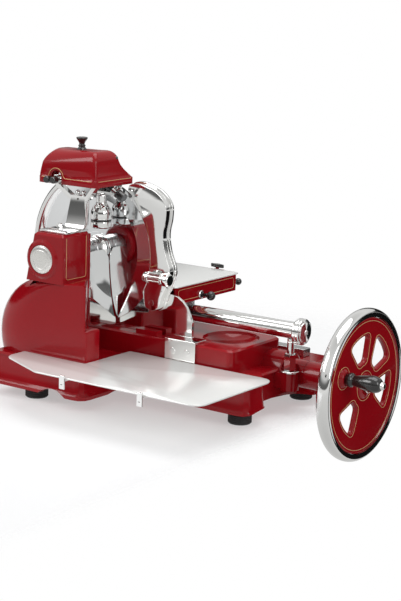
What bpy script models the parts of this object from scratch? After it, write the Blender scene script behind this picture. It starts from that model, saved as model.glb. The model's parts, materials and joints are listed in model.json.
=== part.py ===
"""Hand crank flywheel meat slicer, built as separate named pieces.

Metres, +Z up. The operator stands at -Y and looks along +Y: the drive column is at the left,
the flywheel at the right (+X), the blade faces the operator in an XZ plane. The origin is the
middle of the front left foot's sole. The flywheel hangs below the soles, past the table's edge.
"""

import math

import bmesh
import bpy
from mathutils import Matrix, Vector

# Fits shared by all pieces
SEAT_GAP = 0.0003
RUNNING_GAP = 0.0003
CUT_OVERRUN = 0.01
WELD_DISTANCE = 0.000001

# Feet
FOOT_RADIUS = 0.021
FOOT_WAIST = 0.019
FOOT_HEIGHT = 0.020
FOOT_LIP = 0.004
FRONT_LEFT = (0.0, 0.0)
FRONT_RIGHT = (0.377, 0.102)
REAR_RIGHT = (0.370, 0.316)
REAR_LEFT = (0.0, 0.316)

# Base casting: plan of the plinth, its ogee skirt and its hollow
BASE_LEFT = -0.078
BASE_FRONT = -0.030
COLUMN_SIDE = 0.130
DECK_FRONT = 0.068
BASE_RIGHT = 0.412
BASE_WAIST = 0.388
WAIST_FRONT = 0.145
WAIST_REAR = 0.262
BASE_REAR = 0.345
BASE_CORNER = 0.016
BASE_WALL = 0.008
DECK_TOP = 0.080
DECK_THICKNESS = 0.005
SKIRT_BOTTOM = FOOT_HEIGHT + SEAT_GAP
SKIRT_FLARE = 0.007
SKIRT_FLARE_HEIGHT = 0.012
SKIRT_NECK_HEIGHT = 0.024
SKIRT_BEAD = 0.003
SKIRT_BEAD_HEIGHT = 0.005
SCALLOP_RISE = 0.011
SCALLOP_MARGIN = 0.034
FOOT_PAD_RADIUS = 0.015

# Raised bed on the deck, and the dish scooped in it
BED_LEFT = -0.010
BED_RIGHT = 0.352
BED_FRONT = 0.108
BED_REAR = 0.268
BED_TOP = 0.121
BED_CORNER = 0.014
BED_STEP_LEFT = 0.139
BED_STEP_RIGHT = 0.186
BED_STEP_HEIGHT = 0.009
BED_STEP_DEPTH = 0.020
DISH_LEFT = 0.236
DISH_RIGHT = 0.338
DISH_FRONT = 0.146
DISH_REAR = 0.256
DISH_DEPTH = 0.016

# Drive line: flywheel shaft along X, low shaft along Y, upper shaft, blade spindle
SHAFT_Y = 0.238
SHAFT_Z = 0.069
SHAFT_RADIUS = 0.008
DRIVE_X = 0.030
UPPER_SHAFT_Z = 0.140
CROSS_SHAFT_RADIUS = 0.005
HOUSING_RADIUS = 0.025
HOUSING_START = 0.432
HOUSING_END = 0.517
HOUSING_BORE = 0.019
DOME_RADIUS = 0.036
DOME_LENGTH = 0.030
BUSH_LENGTH = 0.016
BUSH_FLANGE_RADIUS = 0.029
BUSH_FLANGE = 0.004

# Blade
BLADE_Y = 0.130
BLADE_Z = 0.260
BLADE_RADIUS = 0.1325
BLADE_THICKNESS = 0.003
BLADE_EDGE = 0.0006
BLADE_BEVEL_SHARE = 0.73
BLADE_BORE = 0.0105
HUB_RADIUS = 0.027
HUB_THICKNESS = 0.009
HUB_SCREW_CIRCLE = 0.018
HUB_SCREW_RADIUS = 0.003
HUB_SCREW_HEAD = 0.002
SPINDLE_RADIUS = 0.010
SPINDLE_HOUSING_RADIUS = 0.022
SPINDLE_LOBE_RADIUS = 0.036
SPINDLE_LOBE_END = 0.068

# Gear column: a drum shaped lower body and a box over it
COLUMN_FRONT = -0.020
COLUMN_REAR = 0.050
COLUMN_RIGHT = 0.125
COLUMN_RIGHT_EDGE = 0.004
COLUMN_RIGHT_REAR = 0.075
DRUM_FACE_X = 0.090
DRUM_FACE_Z = 0.115
DRUM_FACE_RADIUS = 0.106
DRUM_SIDE_X = 0.015
DRUM_SIDE_Z = 0.110
DRUM_SIDE_RADIUS = 0.110
DRUM_FILLET = 0.035
DRUM_TOP = 0.224
BOX_LEFT_TOP = 0.009
BOX_LEFT_LOW = -0.009
BOX_RIGHT = 0.077
BOX_LOW = 0.219
BOX_TOP = 0.307
BOX_PROUD = 0.003
BOX_EDGE = 0.004
TOE_LEFT = 0.095
TOE_REAR = 0.020
TOE_TOP = 0.143
TOE_ROUND = 0.018
COLUMN_WALL = 0.007
CHAIN_ROOM_MARGIN = 0.0016
CHAIN_ROOM_REAR = 0.016
GEAR_ROOM_FRONT = 0.020
GEAR_ROOM_RADIUS = 0.043
PINION_ROOM_RADIUS = 0.037
REAR_COVER_THICKNESS = 0.004
BADGE_RADIUS = 0.026
BADGE_THICKNESS = 0.005
BADGE_RING_RADIUS = 0.036
BADGE_RING_HEIGHT = 0.008
TOP_PLATE_LEFT = 0.013
TOP_PLATE_RIGHT = 0.074
TOP_PLATE_FRONT = -0.012
TOP_PLATE_REAR = 0.050
TOP_PLATE_THICKNESS = 0.004

# Gear train: one pair of mitre gears, one spur pair, one chain
MITRE_TEETH = 16
MITRE_PITCH_RADIUS = 0.0195
MITRE_FACE = 0.008
LOW_GEAR_TEETH = 24
PINION_TEETH = 20
SPUR_Y = 0.036
SPUR_WIDTH = 0.010
CHAIN_WHEEL_TEETH = 24
SPROCKET_TEETH = 8
CHAIN_PITCH = 0.0127
CHAIN_Y = 0.008
CHAIN_WIDTH = 0.006
CHAIN_THICKNESS = 0.004
CHAIN_CLEARANCE = 0.0008
RIB_THICKNESS = 0.010
RIB_HALF_WIDTH = 0.016
MAIN_RIB_X = 0.062

# Flywheel
WHEEL_FACE_X = 0.548
WHEEL_RADIUS = 0.136
WHEEL_RIM_INNER = 0.121
WHEEL_WIDTH = 0.024
WHEEL_DISC_THICKNESS = 0.010
WHEEL_HUB_RADIUS = 0.024
WHEEL_HUB_LENGTH = 0.022
PETAL_INNER = 0.042
PETAL_OUTER = 0.090
PETAL_INNER_HALF_TURN = 15.0
PETAL_OUTER_HALF_TURN = 21.0
PETAL_CORNER = 0.008
PETAL_TURNS = (105.0, 45.0, -15.0, 225.0)
CRANK_TURN = 160.0
CRANK_RADIUS = 0.080
CRANK_BOSS_RADIUS = 0.017
CRANK_BOSS_HEIGHT = 0.006
CRANK_PIN_RADIUS = 0.005
GRIP_LENGTH = 0.066
GRIP_NECK_RADIUS = 0.009
GRIP_BELLY_RADIUS = 0.0145
GRIP_COLLAR_RADIUS = 0.0125
GRIP_NUT_RADIUS = 0.007
GRIP_NUT_LENGTH = 0.006
HUB_NUT_RADIUS = 0.012
HUB_NUT_LENGTH = 0.011

# Front rail: the polished tube that the carriage runs on, its collar and its post
RAIL_Y = 0.205
RAIL_Z = 0.153
RAIL_RADIUS = 0.015
RAIL_LEFT = -0.052
RAIL_RIGHT = 0.4237
COLLAR_RADIUS = 0.0235
COLLAR_LENGTH = 0.015
CAP_RADIUS = 0.019
CAP_THICKNESS = 0.002
CAP_SCREW_RADIUS = 0.004
POST_X = 0.411
POST_RADIUS = 0.0063
POST_HEX_RADIUS = 0.0115
POST_HEX_TOP = 0.110
POST_DISC_RADIUS = 0.018
POST_DISC_THICKNESS = 0.003
POST_BOSS_RADIUS = 0.017
POST_BOSS_BOTTOM = 0.045
POST_BOSS_TOP = 0.077
PEDESTAL_X = -0.035
PEDESTAL_WIDTH = 0.026
PEDESTAL_DEPTH = 0.036

# Rear track
TRACK_LEFT = 0.010
TRACK_RIGHT = 0.380
TRACK_FRONT = 0.303
TRACK_REAR = 0.326
TRACK_HEIGHT = 0.015

# Carriage and its roller
CARRIAGE_LEFT = 0.006
CARRIAGE_RIGHT = 0.1945
CARRIAGE_FRONT = 0.155
CARRIAGE_REAR = 0.336
CARRIAGE_BOTTOM = 0.1765
CARRIAGE_TOP = 0.1885
SLEEVE_RADIUS = 0.0205
SLEEVE_HALF_LENGTH = 0.055
SLEEVE_NECK_HALF = 0.009
SLIDE_RIB_WIDTH = 0.014
SLIDE_RIB_INSET = 0.018
ROLLER_RADIUS = 0.012
ROLLER_WIDTH = 0.014
ROLLER_PIN_RADIUS = 0.003
ROLLER_Y = 0.314
ROLLER_LEG_THICKNESS = 0.008
ROLLER_LEG_HALF_WIDTH = 0.013
CARRIAGE_TRAVEL = 0.170

# Meat table on the carriage
TABLE_LEFT = 0.0
TABLE_RIGHT = 0.2005
TABLE_FRONT = 0.146
TABLE_REAR = 0.340
TABLE_WALL = 0.005
TABLE_BOTTOM = 0.1752
TABLE_UNDER_TOP = 0.2030
TABLE_TOP = 0.2068
PLATE_OVERHANG = 0.0042
PLATE_THICKNESS = 0.003
PLATE_CORNER = 0.006
FEED_KNOB_Y = 0.223
FEED_KNOB_Z = 0.1850
FEED_STEM_RADIUS = 0.003
FEED_STEM_LENGTH = 0.015
FEED_BALL_RADIUS = 0.0085
PULL_KNOB_X = 0.1885
PULL_KNOB_Z = 0.1870
PULL_FERRULE_RADIUS = 0.0048
PULL_FERRULE_LENGTH = 0.011
PULL_STEM_RADIUS = 0.0028
PULL_STEM_LENGTH = 0.012
PULL_BALL_RADIUS = 0.0068
CLAMP_X = 0.147
CLAMP_LUG_LENGTH = 0.022
CLAMP_LUG_WIDTH = 0.024
CLAMP_STUD_RADIUS = 0.0035
CLAMP_KNOB_LENGTH = 0.030
CLAMP_KNOB_WIDTH = 0.011
CLAMP_KNOB_HEIGHT = 0.007

# Gauge plate, its support on the base, and the thickness knob
GAUGE_CLEARANCE = 0.0035
GAUGE_THICKNESS = 0.017
GAUGE_BEAD = 0.003
GAUGE_BEAD_DEPTH = 0.004
GAUGE_BACK = 0.133
GAUGE_RIGHT = 0.200
GAUGE_TOP = 0.392
GAUGE_BOTTOM = 0.167
GAUGE_ARC_TOP = 52.0
GAUGE_ARC_BOTTOM = -27.0
GAUGE_EDGE = 0.0015
GAUGE_TRAVEL = 0.014
SUPPORT_THICKNESS = 0.006
SUPPORT_LEFT = 0.040
SUPPORT_RIGHT = 0.247
SUPPORT_TOP = 0.198
GUIDE_PIN_RADIUS = 0.0055
GUIDE_PIN_X = 0.171
GUIDE_PIN_Z = 0.181
BRACKET_LEFT = 0.210
BRACKET_RIGHT = 0.276
BRACKET_BOTTOM = 0.087
BRACKET_THICKNESS = 0.004
BRACKET_SCREW_RADIUS = 0.0055
BRACKET_SCREW_HEIGHT = 0.002
KNOB_RADIUS = 0.0105
KNOB_LENGTH = 0.038
KNOB_CAP_RADIUS = 0.009
KNOB_CAP_LENGTH = 0.006
KNOB_Z = 0.230
KNOB_BOSS_RADIUS = 0.012
KNOB_BOSS_LENGTH = 0.012
KNOB_BOSS_END = 0.209
KNOB_STANDOFF = 0.002
KNOB_PIN_RADIUS = 0.004

# Deflector
DEFLECTOR_THICKNESS = 0.002
DEFLECTOR_BACK_GAP = 0.0018
DEFLECTOR_LEAN = ((0.1365, 0.0772), (0.161, 0.0709), (0.209, 0.0634), (0.251, 0.0602), (0.265, 0.0590))
DEFLECTOR_SWEEP = 0.10
DEFLECTOR_STATIONS = (
    (0.0560, 0.1900, 0.2250), (0.0690, 0.1760, 0.2285), (0.0696, 0.1755, 0.2580), (0.0740, 0.1710, 0.2620),
    (0.0950, 0.1520, 0.2640), (0.1130, 0.1420, 0.2640), (0.1160, 0.1405, 0.2620), (0.1220, 0.1385, 0.2560),
    (0.1267, 0.1370, 0.2490),
)
DEFLECTOR_SCREW_Y = 0.0833
DEFLECTOR_SCREW_Z = 0.2440
DEFLECTOR_LUG_RADIUS = 0.0045
CHUTE_LEFT = 0.0773
CHUTE_FRONT = 0.0515
CHUTE_TOP_FRONT = 0.1900
CHUTE_TOP_BACK = 0.1380
CHUTE_BOTTOM_FRONT = 0.1360
CHUTE_BOTTOM_BACK = 0.1260
CHUTE_LEDGE_DEPTH = 0.012
CHUTE_LEDGE_Z = 0.1385

# Guard round the left of the blade
GUARD_INNER = 0.1365
GUARD_OUTER = 0.148
GUARD_WIDTH = 0.018
GUARD_START = 130.0
GUARD_END = 235.0
GUARD_ARM_TURN = 225.0
GUARD_ARM_RADIUS = 0.008

# Receiving tray
TRAY_TOP = 0.0885
TRAY_THICKNESS = 0.003
TRAY_GAP = 0.004
TRAY_BACK = 0.1012
TRAY_RIGHT = 0.446
TRAY_FRONT = -0.122
TRAY_CORNER = 0.026
TRAY_LEFT = -0.006
TRAY_LEFT_SLOPE_X = 0.104
TRAY_LEFT_SLOPE_Y = -0.076
TRAY_NOTCH_FRONT = -0.0275
TRAY_NOTCH_RIGHT = 0.134
ARM_PLACES = (0.167, 0.332)
CLIP_WIDTH = 0.011
CLIP_THICKNESS = 0.003
CLIP_RISE = 0.004
CLIP_DROP = 0.020

# Sharpener: pillar, yoke, deck, stones and lift-off cover
PILLAR_X = 0.0510
PILLAR_WIDTH = 0.0440
PILLAR_FRONT = 0.047
PILLAR_DEPTH = 0.012
YOKE_LEFT = -0.012
YOKE_RIGHT = 0.095
YOKE_FLOOR_LEFT = 0.031
YOKE_FLOOR_RIGHT = 0.072
YOKE_BOTTOM = 0.362
YOKE_BAR = 0.007
SHARPENER_DECK_Z = 0.4019
SHARPENER_DECK_THICKNESS = 0.004
SHARPENER_DECK_REAR = 0.120
COVER_LEFT = -0.033
COVER_RIGHT = 0.100
COVER_FRONT = 0.035
COVER_REAR_LOW = 0.147
COVER_REAR_HIGH = 0.112
COVER_BOTTOM = 0.387
COVER_BAND_TOP = 0.399
COVER_SHOULDER = 0.425
COVER_CROWN = 0.448
COVER_LEAN = 0.007
COVER_CORNER = 0.009
COVER_WALL = 0.0025
NOTCH_X = 0.009
NOTCH_HALF_WIDTH = 0.013
NOTCH_TOP = 0.411
COVER_KNOB_X = 0.034
COVER_KNOB_Y = 0.077
COVER_KNOB_HEIGHT = 0.022
COVER_KNOB_TOP_RADIUS = 0.0105
COVER_KNOB_WAIST = 0.0042
COVER_KNOB_FOOT_RADIUS = 0.009
STUD_RADIUS = 0.003
STUD_SHOULDER_RADIUS = 0.005
COVER_LIFT = 0.060
ROD_RADIUS = 0.0022
ROD_Z = 0.3955
ROD_GUIDE_FRONT = 0.064
ROD_GUIDE_LENGTH = 0.010
ROD_GUIDE_MARGIN = 0.005
ROD_KNOB_RADIUS = 0.0055
ROD_KNOB_LENGTH = 0.012
ROD_KNOB_FRONT = 0.016
GRIND_ROD_X = 0.0165
HONE_ROD_X = 0.0015
STONE_RADIUS = 0.015
STONE_THICKNESS = 0.005
STONE_PIN_RADIUS = 0.003
STONE_ORBIT_SHARE = 0.89
GRIND_TURN = 88.0
HONE_TURN = 98.0
STONE_STANDOFF = 0.0045
STONE_ARM_THICKNESS = 0.003
STONE_ARM_HALF_WIDTH = 0.006
CUP_X = 0.064
CUP_Y = 0.098
CUP_RADIUS = 0.019
CUP_BOTTOM = 0.307
CUP_TOP = 0.349
CUP_NECK_RADIUS = 0.0095
CUP_NECK_TOP = 0.3685
HOLDER_RADIUS = 0.0085
HOLDER_LENGTH = 0.040
HOLDER_TURN = 62.0
HOLDER_ORBIT = 0.128
HOLDER_Y = 0.108
HOLDER_RING_RADIUS = 0.0115
HOLDER_RING_LENGTH = 0.010
HOLDER_ARM_HALF_WIDTH = 0.007
HOLDER_ARM_THICKNESS = 0.005

# Colours as red, green, blue, and the finish as roughness and metallic
RED = ((0.42, 0.012, 0.018), 0.18, 0.0)
CHROME = ((0.80, 0.80, 0.80), 0.08, 1.0)
STEEL = ((0.56, 0.57, 0.58), 0.30, 1.0)
BLACK = ((0.012, 0.012, 0.012), 0.35, 0.0)
RUBBER = ((0.02, 0.02, 0.02), 0.80, 0.0)
ENAMEL = ((0.85, 0.85, 0.83), 0.25, 0.0)
BRONZE = ((0.52, 0.33, 0.14), 0.35, 1.0)
STONE = ((0.22, 0.21, 0.20), 0.90, 0.0)

# Facets round a full turn
FINE = 48
ROUND = 32
SMALL = 16
TINY = 10

ALONG_X = Matrix.Rotation(math.radians(90), 4, "Y")
ALONG_Y = Matrix.Rotation(math.radians(-90), 4, "X")
ALONG_Z = Matrix.Identity(4)
FACET_TWIST = Matrix.Rotation(math.radians(2), 4, "Z")
FACING_FRONT = Matrix.Rotation(math.radians(90), 4, "X")
FACING_RIGHT = Matrix(((0, 0, 1, 0), (1, 0, 0, 0), (0, 1, 0, 0), (0, 0, 0, 1)))

for old in list(bpy.data.objects):
    bpy.data.objects.remove(old, do_unlink=True)

PARTS = bpy.data.collections.new("hand_crank_meat_slicer")
TOOLS = bpy.data.collections.new("shaping_tools")
bpy.context.scene.collection.children.link(PARTS)
bpy.context.scene.collection.children.link(TOOLS)
TOOLS.hide_render = True
FINISHES = {}


def finish(name, values):
    """One Principled material for each finish, made when it is first asked for."""
    if name not in FINISHES:
        colour, roughness, metallic = values
        material = bpy.data.materials.new(name)
        material.use_nodes = True
        shader = material.node_tree.nodes["Principled BSDF"]
        shader.inputs["Base Color"].default_value = (*colour, 1.0)
        shader.inputs["Roughness"].default_value = roughness
        shader.inputs["Metallic"].default_value = metallic
        FINISHES[name] = material
    return FINISHES[name]


def place(name, mesh, values, matrix=ALONG_Z):
    """Adds an object: a part with its own finish, or a shaping tool where values is None."""
    obj = bpy.data.objects.new(name, mesh)
    obj.matrix_world = matrix
    if values is None:
        obj.hide_render = True
        obj.display_type = "WIRE"
        TOOLS.objects.link(obj)
    else:
        mesh.materials.clear()
        mesh.materials.append(finish(name, values))
        PARTS.objects.link(obj)
    return obj


def smooth_faces(mesh, limit=35.0):
    mesh.shade_smooth()
    mesh.set_sharp_from_angle(angle=math.radians(limit))


def from_bmesh(name, shape, values, matrix=ALONG_Z):
    bmesh.ops.recalc_face_normals(shape, faces=shape.faces)
    if shape.calc_volume(signed=True) < 0:
        bmesh.ops.reverse_faces(shape, faces=shape.faces)
    mesh = bpy.data.meshes.new(name)
    shape.to_mesh(mesh)
    shape.free()
    smooth_faces(mesh)
    return place(name, mesh, values, matrix)


def bevel(obj, width, segments=2, limit=40.0):
    modifier = obj.modifiers.new("rounded_edges", "BEVEL")
    modifier.width = width
    modifier.segments = segments
    modifier.limit_method = "ANGLE"
    modifier.angle_limit = math.radians(limit)
    modifier.use_clamp_overlap = True
    return obj


def cut(obj, *tools):
    for tool in tools:
        modifier = obj.modifiers.new(f"cut_{tool.name}", "BOOLEAN")
        modifier.operation = "DIFFERENCE"
        modifier.solver = "EXACT"
        modifier.object = tool
    return obj


def join(obj, *tools):
    for tool in tools:
        modifier = obj.modifiers.new(f"join_{tool.name}", "BOOLEAN")
        modifier.operation = "UNION"
        modifier.solver = "EXACT"
        modifier.object = tool
    return obj


def box(name, low, high, values=None, rounding=0.0, segments=2):
    """A block between two corners, with its scale applied before any bevel."""
    shape = bmesh.new()
    bmesh.ops.create_cube(shape, size=1.0)
    size = Vector(high) - Vector(low)
    middle = (Vector(high) + Vector(low)) / 2
    bmesh.ops.scale(shape, vec=size, verts=shape.verts)
    obj = from_bmesh(name, shape, values, Matrix.Translation(middle))
    if rounding:
        bevel(obj, rounding, segments)
    return obj


def rod(name, start, end, radius, values=None, sides=SMALL, end_radius=None):
    """A straight round bar, or a cone where end_radius is given."""
    start, end = Vector(start), Vector(end)
    along = end - start
    shape = bmesh.new()
    bmesh.ops.create_cone(
        shape, cap_ends=True, segments=sides, radius1=radius,
        radius2=radius if end_radius is None else end_radius, depth=along.length, matrix=FACET_TWIST,
    )
    turn = Vector((0, 0, 1)).rotation_difference(along.normalized()).to_matrix().to_4x4()
    return from_bmesh(name, shape, values, Matrix.Translation((start + end) / 2) @ turn)


def ball(name, middle, radius, values=None):
    shape = bmesh.new()
    bmesh.ops.create_uvsphere(shape, u_segments=SMALL, v_segments=TINY, radius=radius)
    return from_bmesh(name, shape, values, Matrix.Translation(middle))


def turned(name, profile, middle, axis, values=None, steps=ROUND, ring=False):
    """A turned piece: profile holds (radius, height) from the top down its outer side."""
    mesh = bpy.data.meshes.new(name)
    count = len(profile)
    edges = [(i, i + 1) for i in range(count - 1)] + ([(count - 1, 0)] if ring else [])
    mesh.from_pydata([(radius, 0.0, height) for radius, height in profile], edges, [])
    obj = place(name, mesh, values, Matrix.Translation(middle) @ axis)
    screw = obj.modifiers.new("turned", "SCREW")
    screw.angle = math.radians(360)
    screw.steps = steps
    screw.render_steps = steps
    screw.use_merge_vertices = True
    screw.merge_threshold = WELD_DISTANCE
    screw.use_smooth_shade = True
    return obj


def tube(name, inner, outer, low, high, middle, axis, values=None, steps=ROUND):
    profile = [(outer, high), (outer, low), (inner, low), (inner, high)]
    return turned(name, profile, middle, axis, values, steps, ring=True)


def plate(name, outlines, thickness, middle, facing, values=None):
    """A flat outline, with any holes as further outlines, centred on its own mid plane."""
    curve = bpy.data.curves.new(name, "CURVE")
    curve.dimensions = "2D"
    curve.fill_mode = "BOTH"
    curve.extrude = thickness / 2
    for outline in outlines:
        spline = curve.splines.new("POLY")
        spline.points.add(len(outline) - 1)
        spline.use_cyclic_u = True
        for point, (across, up) in zip(spline.points, outline):
            point.co = (across, up, 0.0, 1.0)
    guide = bpy.data.objects.new(name + "_outline", curve)
    TOOLS.objects.link(guide)
    graph = bpy.context.evaluated_depsgraph_get()
    mesh = bpy.data.meshes.new_from_object(guide.evaluated_get(graph))
    bpy.data.objects.remove(guide)
    shape = bmesh.new()
    shape.from_mesh(mesh)
    bpy.data.meshes.remove(mesh)
    bmesh.ops.remove_doubles(shape, verts=shape.verts, dist=WELD_DISTANCE)
    return from_bmesh(name, shape, values, Matrix.Translation(middle) @ facing)


def loft(name, rings, values=None, matrix=ALONG_Z, flat_ends=True):
    """A closed skin through rings of points, all with the same number of points."""
    shape = bmesh.new()
    rows = [[shape.verts.new(point) for point in ring] for ring in rings]
    count = len(rows[0])
    for low, high in zip(rows, rows[1:]):
        for i in range(count):
            j = (i + 1) % count
            shape.faces.new((low[i], low[j], high[j], high[i]))
    shape.faces.new(list(reversed(rows[0])))
    shape.faces.new(rows[-1])
    if not flat_ends:
        bmesh.ops.triangulate(shape, faces=[face for face in shape.faces if len(face.verts) > 4])
    return from_bmesh(name, shape, values, matrix)


def turn_point(radius, degrees, middle=(0.0, 0.0)):
    turn = math.radians(degrees)
    return middle[0] + radius * math.cos(turn), middle[1] + radius * math.sin(turn)


def arc(radius, start, end, steps, middle=(0.0, 0.0)):
    return [
        turn_point(radius, start + (end - start) * i / steps, middle) for i in range(steps + 1)
    ]


def circle(radius, steps=SMALL, middle=(0.0, 0.0)):
    return [turn_point(radius, 360 * i / steps, middle) for i in range(steps)]


def rounded(corners, radii, steps=3):
    """A closed outline whose corners are replaced by fillets, each limited by its sides."""
    points = []
    count = len(corners)
    if isinstance(radii, float):
        radii = [radii] * count
    for i, (corner, radius) in enumerate(zip(corners, radii)):
        here = Vector(corner)
        back = Vector(corners[i - 1]) - here
        ahead = Vector(corners[(i + 1) % count]) - here
        half = back.angle(ahead) / 2
        reach = min(radius / math.tan(half), back.length / 2, ahead.length / 2)
        start = here + back.normalized() * reach
        end = here + ahead.normalized() * reach
        for k in range(steps + 1):
            t = k / steps
            points.append(tuple(start * (1 - t) ** 2 + here * 2 * t * (1 - t) + end * t ** 2))
    return points


def grown(outline, distance):
    """The outline moved outwards by distance, each point along its mean normal."""
    count = len(outline)
    points = []
    for i, point in enumerate(outline):
        before = (Vector(point) - Vector(outline[i - 1])).normalized()
        after = (Vector(outline[(i + 1) % count]) - Vector(point)).normalized()
        normal = Vector((before.y + after.y, -before.x - after.x))
        points.append(tuple(Vector(point) + normal * distance / max(normal.length_squared / 2, 0.5)))
    return points


def smooth_path(points, steps=4):
    """Catmull-Rom points through the given ones, ends included."""
    padded = [points[0], *points, points[-1]]
    path = []
    for a, b, c, d in zip(padded, padded[1:], padded[2:], padded[3:]):
        a, b, c, d = Vector(a), Vector(b), Vector(c), Vector(d)
        for k in range(steps):
            t = k / steps
            path.append(tuple(0.5 * (
                2 * b + (c - a) * t + (2 * a - 5 * b + 4 * c - d) * t ** 2
                + (3 * b - a - 3 * c + d) * t ** 3
            )))
    path.append(tuple(points[-1]))
    return path


def toothed(teeth, root, tip, phase=0.0, root_share=0.56, tip_share=0.20):
    """Trapezium teeth round a wheel; the first tooth is centred on phase, in degrees."""
    pitch = 360 / teeth
    points = []
    for i in range(teeth):
        middle = phase + i * pitch
        for radius, share in ((root, -root_share), (tip, -tip_share), (tip, tip_share), (root, root_share)):
            points.append(turn_point(radius, middle + pitch * share / 2))
    return points


def axis_empty(name, middle):
    empty = bpy.data.objects.new(name, None)
    empty.location = middle
    PARTS.objects.link(empty)
    bpy.context.view_layer.update()
    return empty


def carry(empty, *pieces):
    """Parents pieces to the empty on their joint's axis, where they are."""
    bpy.context.view_layer.update()
    for piece in pieces:
        world = piece.matrix_world.copy()
        piece.parent = empty
        piece.matrix_parent_inverse = empty.matrix_world.inverted()
        piece.matrix_world = world


def base_plan():
    """Corners of the plinth: the column's plinth juts forward at the left."""
    return [
        (BASE_LEFT, BASE_FRONT), (COLUMN_SIDE, BASE_FRONT), (COLUMN_SIDE, DECK_FRONT),
        (BASE_RIGHT, DECK_FRONT), (BASE_RIGHT, FRONT_RIGHT[1] + SCALLOP_MARGIN / 2),
        (BASE_WAIST, WAIST_FRONT), (BASE_WAIST, WAIST_REAR),
        (BASE_RIGHT, REAR_RIGHT[1] - SCALLOP_MARGIN), (BASE_RIGHT, BASE_REAR),
        (BASE_LEFT, BASE_REAR),
    ]


def skirt_rings(plan):
    """Ogee skirt: flared foot, hollow neck, bead under the deck."""
    neck = SKIRT_BOTTOM + SKIRT_FLARE_HEIGHT
    waist = neck + SKIRT_NECK_HEIGHT
    bead = DECK_TOP - SKIRT_BEAD_HEIGHT
    steps = (
        (SKIRT_BOTTOM, SKIRT_FLARE), (SKIRT_BOTTOM + SKIRT_FLARE_HEIGHT / 2, SKIRT_FLARE),
        (neck, SKIRT_BEAD), (waist, 0.0), (bead, 0.0), (bead, SKIRT_BEAD),
        (DECK_TOP - SKIRT_BEAD, SKIRT_BEAD), (DECK_TOP, 0.0),
    )
    return [[(x, y, z) for x, y in grown(plan, offset)] for z, offset in steps]


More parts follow.
